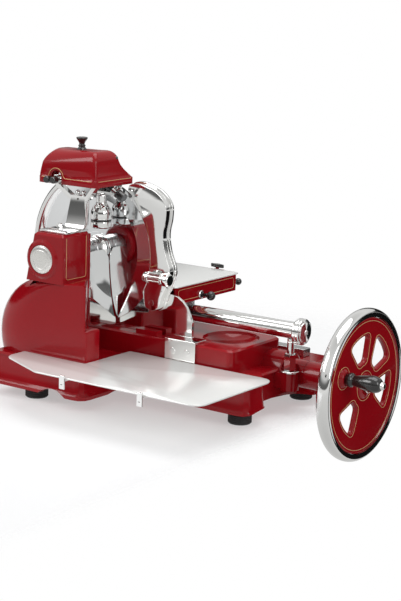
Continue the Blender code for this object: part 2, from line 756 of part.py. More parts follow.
def build_base():
    plan = rounded(base_plan(), BASE_CORNER)
    base = loft("base_casting", skirt_rings(plan), RED)
    bed = loft("raised_bed", [
        [(x, y, z) for x, y in rounded([
            (BED_LEFT + inset, BED_FRONT + inset), (BED_RIGHT - inset, BED_FRONT + inset),
            (BED_RIGHT - inset, BED_REAR - inset), (BED_LEFT + inset, BED_REAR - inset),
        ], BED_CORNER)]
        for z, inset in (
            (DECK_TOP - BASE_WALL / 2, 0.0), (BED_TOP - SKIRT_BEAD, 0.0), (BED_TOP, SKIRT_BEAD),
        )
    ])
    step = box(
        "bed_step", (BED_STEP_LEFT, BED_FRONT + SKIRT_BEAD, BED_TOP - BED_STEP_HEIGHT),
        (BED_STEP_RIGHT, BED_FRONT + BED_STEP_DEPTH, BED_TOP + BED_STEP_HEIGHT),
    )
    dish_middle = ((DISH_LEFT + DISH_RIGHT) / 2, (DISH_FRONT + DISH_REAR) / 2)
    dish = ball("dish_scoop", (*dish_middle, BED_TOP), 1.0)
    dish.scale = ((DISH_RIGHT - DISH_LEFT) / 2, (DISH_REAR - DISH_FRONT) / 2, DISH_DEPTH)
    dome = rod(
        "shaft_dome", (BED_RIGHT - DOME_RADIUS, SHAFT_Y, SHAFT_Z), (BASE_WAIST + DOME_LENGTH / 3, SHAFT_Y, SHAFT_Z),
        DOME_RADIUS, sides=ROUND,
    )
    bevel(dome, (DOME_RADIUS - HOUSING_RADIUS) * 0.8, 3)
    root = rod(
        "housing_root", (BASE_WAIST - BASE_WALL / 2, SHAFT_Y, SHAFT_Z), (HOUSING_START, SHAFT_Y, SHAFT_Z),
        HOUSING_RADIUS, sides=ROUND,
    )
    post_seat = rod(
        "post_seat", (POST_X, RAIL_Y, POST_BOSS_TOP), (POST_X, RAIL_Y, RAIL_Z), POST_DISC_RADIUS + SEAT_GAP, sides=24,
    )
    boss = rod(
        "post_boss", (POST_X, RAIL_Y, POST_BOSS_BOTTOM), (POST_X, RAIL_Y, POST_BOSS_TOP + SEAT_GAP),
        POST_BOSS_RADIUS, sides=24,
    )
    web = box(
        "post_web", (BASE_WAIST - BASE_WALL / 2, RAIL_Y - POST_BOSS_RADIUS * 0.9, POST_BOSS_BOTTOM + BASE_WALL / 2),
        (POST_X, RAIL_Y + POST_BOSS_RADIUS * 0.9, POST_BOSS_TOP - BASE_WALL / 8),
    )
    deck_under = DECK_TOP - DECK_THICKNESS
    hollow_height = deck_under - SKIRT_BOTTOM + CUT_OVERRUN
    inner = plate(
        "base_hollow", [grown(plan, -BASE_WALL)], hollow_height,
        (0.0, 0.0, deck_under - hollow_height / 2), ALONG_Z,
    )
    bed_hollow = box(
        "bed_hollow", (BED_LEFT + BASE_WALL, BED_FRONT + BASE_WALL, deck_under - CUT_OVERRUN),
        (DISH_LEFT - BASE_WALL, BED_REAR - BASE_WALL, BED_TOP - BASE_WALL),
    )
    shaft_hollow = rod(
        "shaft_hollow", (DISH_LEFT - BASE_WALL - CUT_OVERRUN, SHAFT_Y, SHAFT_Z),
        (BASE_WAIST - BASE_WALL - CUT_OVERRUN, SHAFT_Y, SHAFT_Z), HOUSING_BORE,
    )
    gear_window = box(
        "gear_window", (DRIVE_X - GEAR_ROOM_RADIUS, GEAR_ROOM_FRONT, deck_under - CUT_OVERRUN),
        (DRIVE_X + GEAR_ROOM_RADIUS, COLUMN_REAR, DECK_TOP + CUT_OVERRUN),
    )
    join(base, bed, step, dome, root, boss, web)
    cut(base, inner, bed_hollow, shaft_hollow, gear_window, dish, post_seat)
    join(base, box(
        "rail_pedestal", (PEDESTAL_X - PEDESTAL_WIDTH / 2, RAIL_Y - PEDESTAL_DEPTH / 2, DECK_TOP - BASE_WALL / 2),
        (PEDESTAL_X + PEDESTAL_WIDTH / 2, RAIL_Y + PEDESTAL_DEPTH / 2, RAIL_Z),
        rounding=BOX_EDGE,
    ))
    cut(base, rod(
        "rail_seat", (RAIL_LEFT - CUT_OVERRUN, RAIL_Y, RAIL_Z), (RAIL_RIGHT, RAIL_Y, RAIL_Z), RAIL_RADIUS + SEAT_GAP,
        sides=ROUND,
    ))
    ribs = [
        ("low_shaft_rib_rear", (DRIVE_X, SHAFT_Y - MITRE_PITCH_RADIUS - RIB_THICKNESS * 2)),
        ("low_shaft_rib_front", (DRIVE_X, COLUMN_REAR + RIB_THICKNESS * 2)),
    ]
    for name, (x, y) in ribs:
        join(base, box(
            name, (x - RIB_HALF_WIDTH, y - RIB_THICKNESS / 2, SHAFT_Z - RIB_HALF_WIDTH),
            (x + RIB_HALF_WIDTH, y + RIB_THICKNESS / 2, rib_top(y)),
        ))
    join(base, box(
        "main_shaft_rib", (MAIN_RIB_X, SHAFT_Y - RIB_HALF_WIDTH, SHAFT_Z - RIB_HALF_WIDTH),
        (MAIN_RIB_X + RIB_THICKNESS, SHAFT_Y + RIB_HALF_WIDTH, BED_TOP - BASE_WALL / 2),
    ))
    cut(
        base,
        rod("main_bore", (DRIVE_X, SHAFT_Y, SHAFT_Z), (HOUSING_END, SHAFT_Y, SHAFT_Z), SHAFT_RADIUS + RUNNING_GAP),
        rod(
            "low_bore", (DRIVE_X, COLUMN_REAR, SHAFT_Z), (DRIVE_X, SHAFT_Y, SHAFT_Z),
            CROSS_SHAFT_RADIUS + RUNNING_GAP,
        ),
        *scallops(),
    )
    for name, (x, y) in foot_places():
        join(base, rod(name + "_pad", (x, y, SKIRT_BOTTOM), (x, y, DECK_TOP - DECK_THICKNESS / 2), FOOT_PAD_RADIUS))
    return base


def rib_top(y):
    """A rib reaches up to the deck, or to the bed's roof where the bed is over it."""
    return BED_TOP - BASE_WALL / 2 if BED_FRONT < y < BED_REAR else DECK_TOP - DECK_THICKNESS / 2


def scallops():
    """Shallow arches along the skirt's lower edge, between the feet."""
    spans = (
        ("front_scallop", FRONT_LEFT[0] + SCALLOP_MARGIN, COLUMN_SIDE - SCALLOP_MARGIN, 1),
        ("rear_scallop", REAR_LEFT[0] + SCALLOP_MARGIN, REAR_RIGHT[0] - SCALLOP_MARGIN, 1),
        ("side_scallop", FRONT_LEFT[1] + SCALLOP_MARGIN, REAR_LEFT[1] - SCALLOP_MARGIN, 0),
    )
    tools = []
    for name, start, end, across in spans:
        half = (end - start) / 2
        radius = (half ** 2 + SCALLOP_RISE ** 2) / (2 * SCALLOP_RISE)
        middle = (start + end) / 2
        drop = SKIRT_BOTTOM + SCALLOP_RISE - radius
        reach = {
            "front_scallop": (BASE_FRONT - CUT_OVERRUN, BASE_FRONT + BASE_WALL * 2),
            "rear_scallop": (BASE_REAR - BASE_WALL * 2, BASE_REAR + CUT_OVERRUN),
            "side_scallop": (BASE_LEFT - CUT_OVERRUN, BASE_RIGHT + CUT_OVERRUN),
        }[name]
        ends = [
            (middle, place_y, drop) if across else (place_y, middle, drop) for place_y in reach
        ]
        tools.append(rod(name, *ends, radius, sides=FINE * 2))
    return tools


def foot_places():
    return (
        ("foot_front_left", FRONT_LEFT), ("foot_front_right", FRONT_RIGHT),
        ("foot_rear_right", REAR_RIGHT), ("foot_rear_left", REAR_LEFT),
    )


def build_feet():
    profile = [
        (0.0, FOOT_HEIGHT), (FOOT_WAIST, FOOT_HEIGHT), (FOOT_WAIST, FOOT_HEIGHT - FOOT_LIP),
        (FOOT_RADIUS, FOOT_HEIGHT - FOOT_LIP), (FOOT_RADIUS, FOOT_LIP / 2),
        (FOOT_RADIUS - FOOT_LIP / 2, 0.0), (0.0, 0.0),
    ]
    for name, (x, y) in foot_places():
        turned(name, profile, (x, y, 0.0), ALONG_Z, RUBBER, steps=24)


def column_ring(y, turn):
    """Section of the column's lower body at depth y; turn runs 0 to 1 over the drum's fillet."""
    reach = math.sin(turn * math.pi / 2)
    middle_x = DRUM_FACE_X + (DRUM_SIDE_X - DRUM_FACE_X) * reach
    middle_z = DRUM_FACE_Z + (DRUM_SIDE_Z - DRUM_FACE_Z) * reach
    radius = DRUM_FACE_RADIUS + (DRUM_SIDE_RADIUS - DRUM_FACE_RADIUS) * reach
    foot = DECK_TOP + SEAT_GAP
    start = 180 - math.degrees(math.asin((foot - middle_z) / radius))
    end = 90 + math.degrees(math.asin(min(1.0, (BOX_LEFT_TOP - middle_x) / -radius))) if middle_x > BOX_LEFT_TOP else 90.0
    rise = min(1.0, (DRUM_TOP - middle_z) / radius)
    end = 180 - math.degrees(math.asin(rise))
    points = [(x, y, z) for x, z in arc(radius, start, end, 12, (middle_x, middle_z))]
    taper = max(0.0, (y - COLUMN_FRONT - COLUMN_RIGHT_EDGE) / (COLUMN_REAR - COLUMN_FRONT - COLUMN_RIGHT_EDGE))
    right = COLUMN_RIGHT + (COLUMN_RIGHT_REAR - COLUMN_RIGHT) * taper
    if y <= COLUMN_FRONT:
        right -= COLUMN_RIGHT_EDGE
    points += [(right - COLUMN_RIGHT_EDGE, y, DRUM_TOP), (right, y, DRUM_TOP - COLUMN_RIGHT_EDGE), (right, y, foot)]
    return points


def build_column():
    turns = [i / 5 for i in range(6)]
    rings = [
        column_ring(COLUMN_FRONT + DRUM_FILLET * (1 - math.cos(t * math.pi / 2)), t) for t in turns
    ]
    rings.append(column_ring(COLUMN_REAR, 1.0))
    column = loft("gear_column", rings, RED)
    front = COLUMN_FRONT - BOX_PROUD
    upper = loft("column_box", [
        [(x, y, z) for x, y in rounded([
            (left, front), (BOX_RIGHT, front), (BOX_RIGHT, COLUMN_REAR), (left, COLUMN_REAR),
        ], BOX_EDGE)]
        for z, left in ((BOX_LOW, BOX_LEFT_LOW), (BOX_TOP - BOX_EDGE, BOX_LEFT_TOP))
    ] + [[
        (x, y, BOX_TOP) for x, y in rounded([
            (BOX_LEFT_TOP + BOX_EDGE, front + BOX_EDGE), (BOX_RIGHT - BOX_EDGE, front + BOX_EDGE),
            (BOX_RIGHT - BOX_EDGE, COLUMN_REAR), (BOX_LEFT_TOP + BOX_EDGE, COLUMN_REAR),
        ], BOX_EDGE)
    ]])
    toe = box(
        "column_toe", (TOE_LEFT, COLUMN_FRONT, DECK_TOP + SEAT_GAP),
        (COLUMN_SIDE, TOE_REAR, TOE_TOP), rounding=TOE_ROUND / 4,
    )
    spindle = (DRIVE_X, COLUMN_REAR, BLADE_Z)
    lobe = turned("spindle_lobe", [
        (0.0, SPINDLE_LOBE_END - COLUMN_REAR), (SPINDLE_LOBE_RADIUS * 0.9, SPINDLE_LOBE_END - COLUMN_REAR),
        (SPINDLE_LOBE_RADIUS, SPINDLE_LOBE_END - COLUMN_REAR - BOX_EDGE),
        (SPINDLE_LOBE_RADIUS, REAR_COVER_THICKNESS / 2), (0.0, REAR_COVER_THICKNESS / 2),
    ], spindle, ALONG_Y)
    ring = turned("badge_ring", [
        (0.0, BOX_EDGE), (BADGE_RING_RADIUS * 0.86, BOX_EDGE), (BADGE_RING_RADIUS, 0.0),
        (BADGE_RING_RADIUS, -COLUMN_WALL / 2 - BOX_EDGE), (0.0, -COLUMN_WALL / 2 - BOX_EDGE),
    ], (DRIVE_X, front, BLADE_Z), Matrix.Rotation(math.radians(90), 4, "X"))
    join(column, upper, toe, ring)
    seat = rod(
        "badge_seat", (DRIVE_X, front - CUT_OVERRUN, BLADE_Z), (DRIVE_X, front - SEAT_GAP, BLADE_Z),
        BADGE_RADIUS + SEAT_GAP, sides=ROUND,
    )
    inside = COLUMN_FRONT + COLUMN_WALL
    behind = COLUMN_REAR + CUT_OVERRUN
    wheel, sprocket = chain_radii()
    chain_room = plate(
        "chain_room", [chain_loop(wheel, sprocket, CHAIN_CLEARANCE + CHAIN_THICKNESS + CHAIN_ROOM_MARGIN)],
        CHAIN_ROOM_REAR - inside, (DRIVE_X, (CHAIN_ROOM_REAR + inside) / 2, 0.0), FACING_FRONT,
    )
    box_room = box(
        "box_room", (BOX_LEFT_TOP + COLUMN_WALL, inside + COLUMN_WALL / 8, UPPER_SHAFT_Z),
        (BOX_RIGHT - COLUMN_WALL, behind, BOX_TOP - COLUMN_WALL),
    )
    pinion_room = rod(
        "pinion_room", (DRIVE_X, inside + COLUMN_WALL / 4, UPPER_SHAFT_Z), (DRIVE_X, behind, UPPER_SHAFT_Z),
        PINION_ROOM_RADIUS, sides=ROUND,
    )
    gear_room = rod(
        "gear_room", (DRIVE_X, GEAR_ROOM_FRONT, SHAFT_Z), (DRIVE_X, behind, SHAFT_Z), GEAR_ROOM_RADIUS, sides=ROUND,
    )
    cut(column, seat, chain_room, box_room, pinion_room, gear_room)
    bearing_bosses = [
        ("spindle_boss", BLADE_Z, SPINDLE_RADIUS), ("upper_boss", UPPER_SHAFT_Z, CROSS_SHAFT_RADIUS),
    ]
    for name, z, radius in bearing_bosses:
        join(column, rod(
            name, (DRIVE_X, inside - COLUMN_WALL / 3, z), (DRIVE_X, inside + COLUMN_WALL, z),
            radius + COLUMN_WALL, sides=SMALL,
        ))
        cut(column, rod(
            name + "_bore", (DRIVE_X, inside + COLUMN_WALL / 4, z), (DRIVE_X, inside + COLUMN_WALL + CUT_OVERRUN, z),
            radius + RUNNING_GAP, sides=SMALL,
        ))
    cover_front = COLUMN_REAR + SEAT_GAP
    cover = plate(
        "column_rear_cover", [rear_cover_outline()], REAR_COVER_THICKNESS,
        (0.0, cover_front + REAR_COVER_THICKNESS / 2, 0.0), FACING_FRONT, RED,
    )
    lobe.location.y = cover_front
    join(cover, lobe)
    cut(cover, rod(
        "spindle_seat", (DRIVE_X, COLUMN_FRONT, BLADE_Z), (DRIVE_X, BLADE_Y, BLADE_Z),
        SPINDLE_HOUSING_RADIUS + SEAT_GAP, sides=ROUND,
    ), rod(
        "upper_shaft_hole", (DRIVE_X, inside, UPPER_SHAFT_Z), (DRIVE_X, behind, UPPER_SHAFT_Z),
        CROSS_SHAFT_RADIUS + RUNNING_GAP,
    ))
    badge = turned("badge_cap", [
        (0.0, BADGE_THICKNESS), (BADGE_RADIUS * 0.8, BADGE_THICKNESS), (BADGE_RADIUS, BADGE_THICKNESS * 0.6),
        (BADGE_RADIUS, 0.0), (0.0, 0.0),
    ], (DRIVE_X, front - SEAT_GAP * 2, BLADE_Z), Matrix.Rotation(math.radians(90), 4, "X"), CHROME)
    top = box(
        "column_top_plate", (TOP_PLATE_LEFT, TOP_PLATE_FRONT, BOX_TOP + SEAT_GAP),
        (TOP_PLATE_RIGHT, TOP_PLATE_REAR, BOX_TOP + SEAT_GAP + TOP_PLATE_THICKNESS), CHROME, TOP_PLATE_THICKNESS / 3,
    )
    return column, cover, badge, top


def rear_cover_outline():
    """Follows the column's own rear section, a wall's width inside its edge."""
    lower = [(x, z) for x, _, z in column_ring(COLUMN_REAR, 1.0)]
    margin = SEAT_GAP * 3
    left = [(x + margin, z) for x, z in lower[:12] if x + margin < BOX_LEFT_LOW]
    top = BOX_TOP - BOX_EDGE
    return left + [
        (BOX_LEFT_LOW + margin, BOX_LOW), (BOX_LEFT_TOP + margin, top),
        (BOX_RIGHT - margin, top), (BOX_RIGHT - margin, DRUM_TOP - BOX_EDGE),
        (COLUMN_RIGHT_REAR - margin, DRUM_TOP - BOX_EDGE), (COLUMN_RIGHT_REAR - margin, DECK_TOP + margin),
    ]


def gear(name, outline, bore, width, middle, facing, values):
    return plate(name, [outline, circle(bore + SEAT_GAP)], width, middle, facing, values)


def spur_sizes():
    distance = UPPER_SHAFT_Z - SHAFT_Z
    module = 2 * distance / (LOW_GEAR_TEETH + PINION_TEETH)
    return module, module * LOW_GEAR_TEETH / 2, module * PINION_TEETH / 2


def mitre_gear(name, middle, matrix, phase):
    """A mitre gear whose pitch cone has its tip at middle and opens along local +Z."""
    rings = []
    for depth in (MITRE_PITCH_RADIUS - MITRE_FACE, MITRE_PITCH_RADIUS):
        outline = toothed(MITRE_TEETH, depth * 0.90, depth * 1.04, phase, 0.46, 0.18)
        rings.append([(x, y, depth) for x, y in outline])
    piece = loft(name, rings, STEEL, Matrix.Translation(middle) @ matrix)
    return piece


def build_train():
    corner = (DRIVE_X, SHAFT_Y, SHAFT_Z)
    half_pitch = 180 / MITRE_TEETH
    drive = mitre_gear("drive_mitre_gear", corner, ALONG_X, half_pitch)
    driven = mitre_gear("driven_mitre_gear", corner, Matrix.Rotation(math.radians(90), 4, "X"), 0.0)
    hub_low = MITRE_PITCH_RADIUS - MITRE_FACE
    cut(drive, rod(
        "drive_mitre_bore", (DRIVE_X, SHAFT_Y, SHAFT_Z), (DRIVE_X + MITRE_PITCH_RADIUS * 2, SHAFT_Y, SHAFT_Z),
        SHAFT_RADIUS + SEAT_GAP,
    ))
    cut(driven, rod(
        "driven_mitre_bore", (DRIVE_X, SHAFT_Y, SHAFT_Z), (DRIVE_X, SHAFT_Y - MITRE_PITCH_RADIUS * 2, SHAFT_Z),
        CROSS_SHAFT_RADIUS + SEAT_GAP,
    ))
    low_shaft = rod(
        "low_shaft", (DRIVE_X, SHAFT_Y - hub_low, SHAFT_Z), (DRIVE_X, SPUR_Y - SPUR_WIDTH, SHAFT_Z),
        CROSS_SHAFT_RADIUS, STEEL,
    )
    module, low_radius, pinion_radius = spur_sizes()
    low_gear = gear(
        "low_spur_gear", toothed(LOW_GEAR_TEETH, low_radius - module, low_radius + module * 0.8, 90.0),
        CROSS_SHAFT_RADIUS, SPUR_WIDTH, (DRIVE_X, SPUR_Y, SHAFT_Z), FACING_FRONT, STEEL,
    )
    phase = -90.0 + 180 / PINION_TEETH
    pinion = plate(
        "upper_pinion_shaft", [toothed(PINION_TEETH, pinion_radius - module, pinion_radius + module * 0.8, phase)],
        SPUR_WIDTH, (DRIVE_X, SPUR_Y, UPPER_SHAFT_Z), FACING_FRONT, STEEL,
    )
    join(pinion, rod(
        "upper_shaft", (DRIVE_X, COLUMN_FRONT + COLUMN_WALL * 1.5, UPPER_SHAFT_Z),
        (DRIVE_X, COLUMN_REAR + REAR_COVER_THICKNESS, UPPER_SHAFT_Z), CROSS_SHAFT_RADIUS,
    ))
    wheel_radius, sprocket_radius = chain_radii()
    depth = CHAIN_PITCH * 0.25
    chain_wheel = gear(
        "chain_wheel", toothed(CHAIN_WHEEL_TEETH, wheel_radius - depth, wheel_radius, 0.0),
        CROSS_SHAFT_RADIUS, CHAIN_WIDTH / 2, (DRIVE_X, CHAIN_Y, UPPER_SHAFT_Z), FACING_FRONT, STEEL,
    )
    sprocket = gear(
        "spindle_sprocket", toothed(SPROCKET_TEETH, sprocket_radius - depth, sprocket_radius, 0.0),
        SPINDLE_RADIUS, CHAIN_WIDTH / 2, (DRIVE_X, CHAIN_Y, BLADE_Z), FACING_FRONT, STEEL,
    )
    chain = plate(
        "drive_chain", [
            chain_loop(wheel_radius, sprocket_radius, CHAIN_CLEARANCE + CHAIN_THICKNESS),
            chain_loop(wheel_radius, sprocket_radius, CHAIN_CLEARANCE),
        ], CHAIN_WIDTH, (DRIVE_X, CHAIN_Y, 0.0), FACING_FRONT, STEEL,
    )
    return drive, (driven, low_shaft, low_gear), (pinion, chain_wheel), sprocket


def chain_radii():
    return CHAIN_PITCH * CHAIN_WHEEL_TEETH / math.tau, CHAIN_PITCH * SPROCKET_TEETH / math.tau


def chain_loop(wheel, sprocket, offset):
    """Open belt round the chain wheel and the sprocket, offset outwards."""
    distance = BLADE_Z - UPPER_SHAFT_Z
    lean = math.degrees(math.asin((wheel - sprocket) / distance))
    return (
        arc(sprocket + offset, lean, 180 - lean, TINY, (0.0, BLADE_Z))
        + arc(wheel + offset, 180 - lean, 360 + lean, ROUND, (0.0, UPPER_SHAFT_Z))
    )


def build_blade():
    half = BLADE_THICKNESS / 2
    middle = (DRIVE_X, BLADE_Y, BLADE_Z)
    bevel_radius = BLADE_RADIUS * BLADE_BEVEL_SHARE
    blade = turned("blade", [
        (BLADE_RADIUS, half), (BLADE_RADIUS, half - BLADE_EDGE), (bevel_radius, -half),
        (BLADE_BORE, -half), (BLADE_BORE, half),
    ], middle, ALONG_Y, CHROME, steps=FINE, ring=True)
    hub_back = BLADE_Y - half - SEAT_GAP
    hub = turned("blade_hub", [
        (HUB_RADIUS, 0.0), (HUB_RADIUS, -HUB_THICKNESS / 2), (HUB_RADIUS * 0.9, -HUB_THICKNESS),
        (SPINDLE_RADIUS + SEAT_GAP, -HUB_THICKNESS), (SPINDLE_RADIUS + SEAT_GAP, 0.0),
    ], (DRIVE_X, hub_back, BLADE_Z), ALONG_Y, STEEL, ring=True)
    spindle = rod(
        "blade_spindle", (DRIVE_X, COLUMN_FRONT + COLUMN_WALL * 1.5, BLADE_Z), (DRIVE_X, BLADE_Y + half, BLADE_Z),
        SPINDLE_RADIUS, STEEL, sides=24,
    )
    turned("spindle_housing", [
        (SPINDLE_HOUSING_RADIUS * 0.9, hub_back - HUB_THICKNESS - SEAT_GAP),
        (SPINDLE_HOUSING_RADIUS, hub_back - HUB_THICKNESS * 1.3),
        (SPINDLE_HOUSING_RADIUS, COLUMN_REAR + SEAT_GAP), (SPINDLE_RADIUS + RUNNING_GAP, COLUMN_REAR + SEAT_GAP),
        (SPINDLE_RADIUS + RUNNING_GAP, hub_back - HUB_THICKNESS - SEAT_GAP),
    ], (DRIVE_X, 0.0, BLADE_Z), ALONG_Y, STEEL, ring=True)
    return blade, hub, spindle


def petal(turn):
    """One through hole of the flywheel: a ring sector with rounded corners."""
    corners = (
        arc(PETAL_INNER, turn - PETAL_INNER_HALF_TURN, turn + PETAL_INNER_HALF_TURN, 1)
        + arc(PETAL_OUTER, turn + PETAL_OUTER_HALF_TURN, turn - PETAL_OUTER_HALF_TURN, 3)
    )
    return rounded(corners, PETAL_CORNER, 2)


def build_flywheel():
    axis = (0.0, SHAFT_Y, SHAFT_Z)
    disc_middle = (WHEEL_FACE_X - WHEEL_DISC_THICKNESS / 2 - SKIRT_BEAD, SHAFT_Y, SHAFT_Z)
    disc = plate(
        "flywheel_disc", [circle(WHEEL_RIM_INNER - SEAT_GAP, FINE), *[petal(turn) for turn in PETAL_TURNS]],
        WHEEL_DISC_THICKNESS, disc_middle, FACING_RIGHT, RED,
    )
    back = WHEEL_FACE_X - WHEEL_HUB_LENGTH - SKIRT_BEAD
    hub = turned("wheel_hub", [
        (0.0, WHEEL_FACE_X), (WHEEL_HUB_RADIUS * 0.7, WHEEL_FACE_X), (WHEEL_HUB_RADIUS, WHEEL_FACE_X - SKIRT_BEAD),
        (WHEEL_HUB_RADIUS, back), (0.0, back),
    ], axis, ALONG_X, steps=24)
    crank_y, crank_z = turn_point(CRANK_RADIUS, CRANK_TURN, (SHAFT_Y, SHAFT_Z))
    boss = turned("crank_boss", [
        (0.0, CRANK_BOSS_HEIGHT), (CRANK_BOSS_RADIUS * 0.8, CRANK_BOSS_HEIGHT), (CRANK_BOSS_RADIUS, 0.0),
        (CRANK_BOSS_RADIUS, -WHEEL_DISC_THICKNESS), (0.0, -WHEEL_DISC_THICKNESS),
    ], (WHEEL_FACE_X - SKIRT_BEAD, crank_y, crank_z), ALONG_X, steps=24)
    join(disc, hub, boss)
    cut(
        disc,
        rod("wheel_bore", (back - CUT_OVERRUN, SHAFT_Y, SHAFT_Z), (WHEEL_FACE_X + CUT_OVERRUN, SHAFT_Y, SHAFT_Z), SHAFT_RADIUS + SEAT_GAP),
        rod(
            "crank_bore", (back, crank_y, crank_z), (WHEEL_FACE_X + CUT_OVERRUN, crank_y, crank_z),
            CRANK_PIN_RADIUS + SEAT_GAP,
        ),
    )
    middle = (WHEEL_RADIUS + WHEEL_RIM_INNER) / 2
    half = (WHEEL_RADIUS - WHEEL_RIM_INNER) / 2
    section = [(WHEEL_RIM_INNER, 0.0), *[
        (middle + half * math.cos(t), -WHEEL_WIDTH / 2 + WHEEL_WIDTH / 2 * math.sin(t))
        for t in [math.radians(100 - 200 * i / 7) for i in range(8)]
    ], (WHEEL_RIM_INNER, -WHEEL_WIDTH)]
    rim = turned("flywheel_rim", section, (WHEEL_FACE_X, SHAFT_Y, SHAFT_Z), ALONG_X, CHROME, steps=FINE, ring=True)
    shaft_end = WHEEL_FACE_X + SKIRT_BEAD
    shaft = rod(
        "main_shaft", (DRIVE_X + MITRE_PITCH_RADIUS - MITRE_FACE, SHAFT_Y, SHAFT_Z), (shaft_end, SHAFT_Y, SHAFT_Z),
        SHAFT_RADIUS, STEEL, sides=24,
    )
    nut = turned("flywheel_nut", [
        (0.0, HUB_NUT_LENGTH), (HUB_NUT_RADIUS * 0.5, HUB_NUT_LENGTH), (HUB_NUT_RADIUS * 0.9, HUB_NUT_LENGTH * 0.6),
        (HUB_NUT_RADIUS, 0.0), (0.0, 0.0),
    ], (shaft_end + SEAT_GAP, SHAFT_Y, SHAFT_Z), ALONG_X, CHROME, steps=24)
    face = WHEEL_FACE_X - SKIRT_BEAD + CRANK_BOSS_HEIGHT
    grip_start = face + SEAT_GAP
    pin = rod(
        "crank_pin", (WHEEL_FACE_X - WHEEL_DISC_THICKNESS, crank_y, crank_z),
        (grip_start + GRIP_LENGTH + RUNNING_GAP + GRIP_NUT_LENGTH / 2, crank_y, crank_z), CRANK_PIN_RADIUS, STEEL,
    )
    bore = CRANK_PIN_RADIUS + RUNNING_GAP
    grip = turned("crank_grip", [
        (GRIP_NUT_RADIUS, GRIP_LENGTH), (GRIP_BELLY_RADIUS * 0.75, GRIP_LENGTH * 0.97),
        (GRIP_BELLY_RADIUS, GRIP_LENGTH * 0.82), (GRIP_BELLY_RADIUS * 0.96, GRIP_LENGTH * 0.62),
        (GRIP_NECK_RADIUS * 1.15, GRIP_LENGTH * 0.34), (GRIP_NECK_RADIUS, GRIP_LENGTH * 0.2),
        (GRIP_COLLAR_RADIUS, GRIP_LENGTH * 0.14), (GRIP_COLLAR_RADIUS, GRIP_LENGTH * 0.05),
        (GRIP_NECK_RADIUS, 0.0), (bore, 0.0), (bore, GRIP_LENGTH),
    ], (grip_start, crank_y, crank_z), ALONG_X, BLACK, steps=20, ring=True)
    join(pin, turned("grip_nut", [
        (0.0, GRIP_NUT_LENGTH), (GRIP_NUT_RADIUS * 0.6, GRIP_NUT_LENGTH), (GRIP_NUT_RADIUS, GRIP_NUT_LENGTH * 0.5),
        (GRIP_NUT_RADIUS, 0.0), (0.0, 0.0),
    ], (grip_start + GRIP_LENGTH + RUNNING_GAP, crank_y, crank_z), ALONG_X, steps=SMALL))
    return (disc, rim, shaft, nut, pin), grip, (grip_start, crank_y, crank_z)


def build_shaft_housing():
    start = HOUSING_START + SEAT_GAP
    housing = tube("shaft_housing", HOUSING_BORE, HOUSING_RADIUS, start, HOUSING_END, (0.0, SHAFT_Y, SHAFT_Z), ALONG_X, RED)
    outer = HOUSING_BORE - SEAT_GAP
    bush = turned("shaft_bush", [
        (BUSH_FLANGE_RADIUS, HOUSING_END + SEAT_GAP + BUSH_FLANGE), (BUSH_FLANGE_RADIUS, HOUSING_END + SEAT_GAP),
        (outer, HOUSING_END + SEAT_GAP), (outer, HOUSING_END - BUSH_LENGTH),
        (SHAFT_RADIUS + RUNNING_GAP, HOUSING_END - BUSH_LENGTH),
        (SHAFT_RADIUS + RUNNING_GAP, HOUSING_END + SEAT_GAP + BUSH_FLANGE),
    ], (0.0, SHAFT_Y, SHAFT_Z), ALONG_X, CHROME, steps=24, ring=True)
    return housing, bush


def build_rail():
    rail = rod("rail_tube", (RAIL_LEFT, RAIL_Y, RAIL_Z), (RAIL_RIGHT, RAIL_Y, RAIL_Z), RAIL_RADIUS, CHROME, sides=ROUND)
    start = RAIL_RIGHT + SEAT_GAP
    disc_end = COLLAR_LENGTH + CAP_THICKNESS
    collar = turned("rail_collar", [
        (0.0, disc_end + CAP_THICKNESS), (CAP_SCREW_RADIUS, disc_end + CAP_THICKNESS), (CAP_SCREW_RADIUS, disc_end),
        (CAP_RADIUS, disc_end), (CAP_RADIUS, COLLAR_LENGTH), (COLLAR_RADIUS * 0.93, COLLAR_LENGTH),
        (COLLAR_RADIUS, COLLAR_LENGTH * 0.85), (COLLAR_RADIUS, COLLAR_LENGTH * 0.15), (COLLAR_RADIUS * 0.93, 0.0),
        (0.0, 0.0),
    ], (start, RAIL_Y, RAIL_Z), ALONG_X, CHROME)
    disc_bottom = POST_BOSS_TOP + SEAT_GAP
    disc_top = disc_bottom + POST_DISC_THICKNESS
    post = turned("rail_post", [
        (0.0, RAIL_Z - RAIL_RADIUS - SEAT_GAP), (POST_RADIUS, RAIL_Z - RAIL_RADIUS - SEAT_GAP),
        (POST_RADIUS, POST_HEX_TOP - COLUMN_RIGHT_EDGE), (0.0, POST_HEX_TOP - COLUMN_RIGHT_EDGE),
    ], (POST_X, RAIL_Y, 0.0), ALONG_Z, CHROME, steps=SMALL)
    join(
        post,
        rod("post_hex", (POST_X, RAIL_Y, disc_top - POST_DISC_THICKNESS / 2), (POST_X, RAIL_Y, POST_HEX_TOP), POST_HEX_RADIUS, sides=6),
        rod("post_disc", (POST_X, RAIL_Y, disc_bottom), (POST_X, RAIL_Y, disc_top), POST_DISC_RADIUS, sides=24),
    )
    track = box(
        "rear_track", (TRACK_LEFT, TRACK_FRONT, DECK_TOP + SEAT_GAP),
        (TRACK_RIGHT, TRACK_REAR, DECK_TOP + TRACK_HEIGHT), STEEL, SKIRT_BEAD / 3,
    )
    return rail, collar, post, track


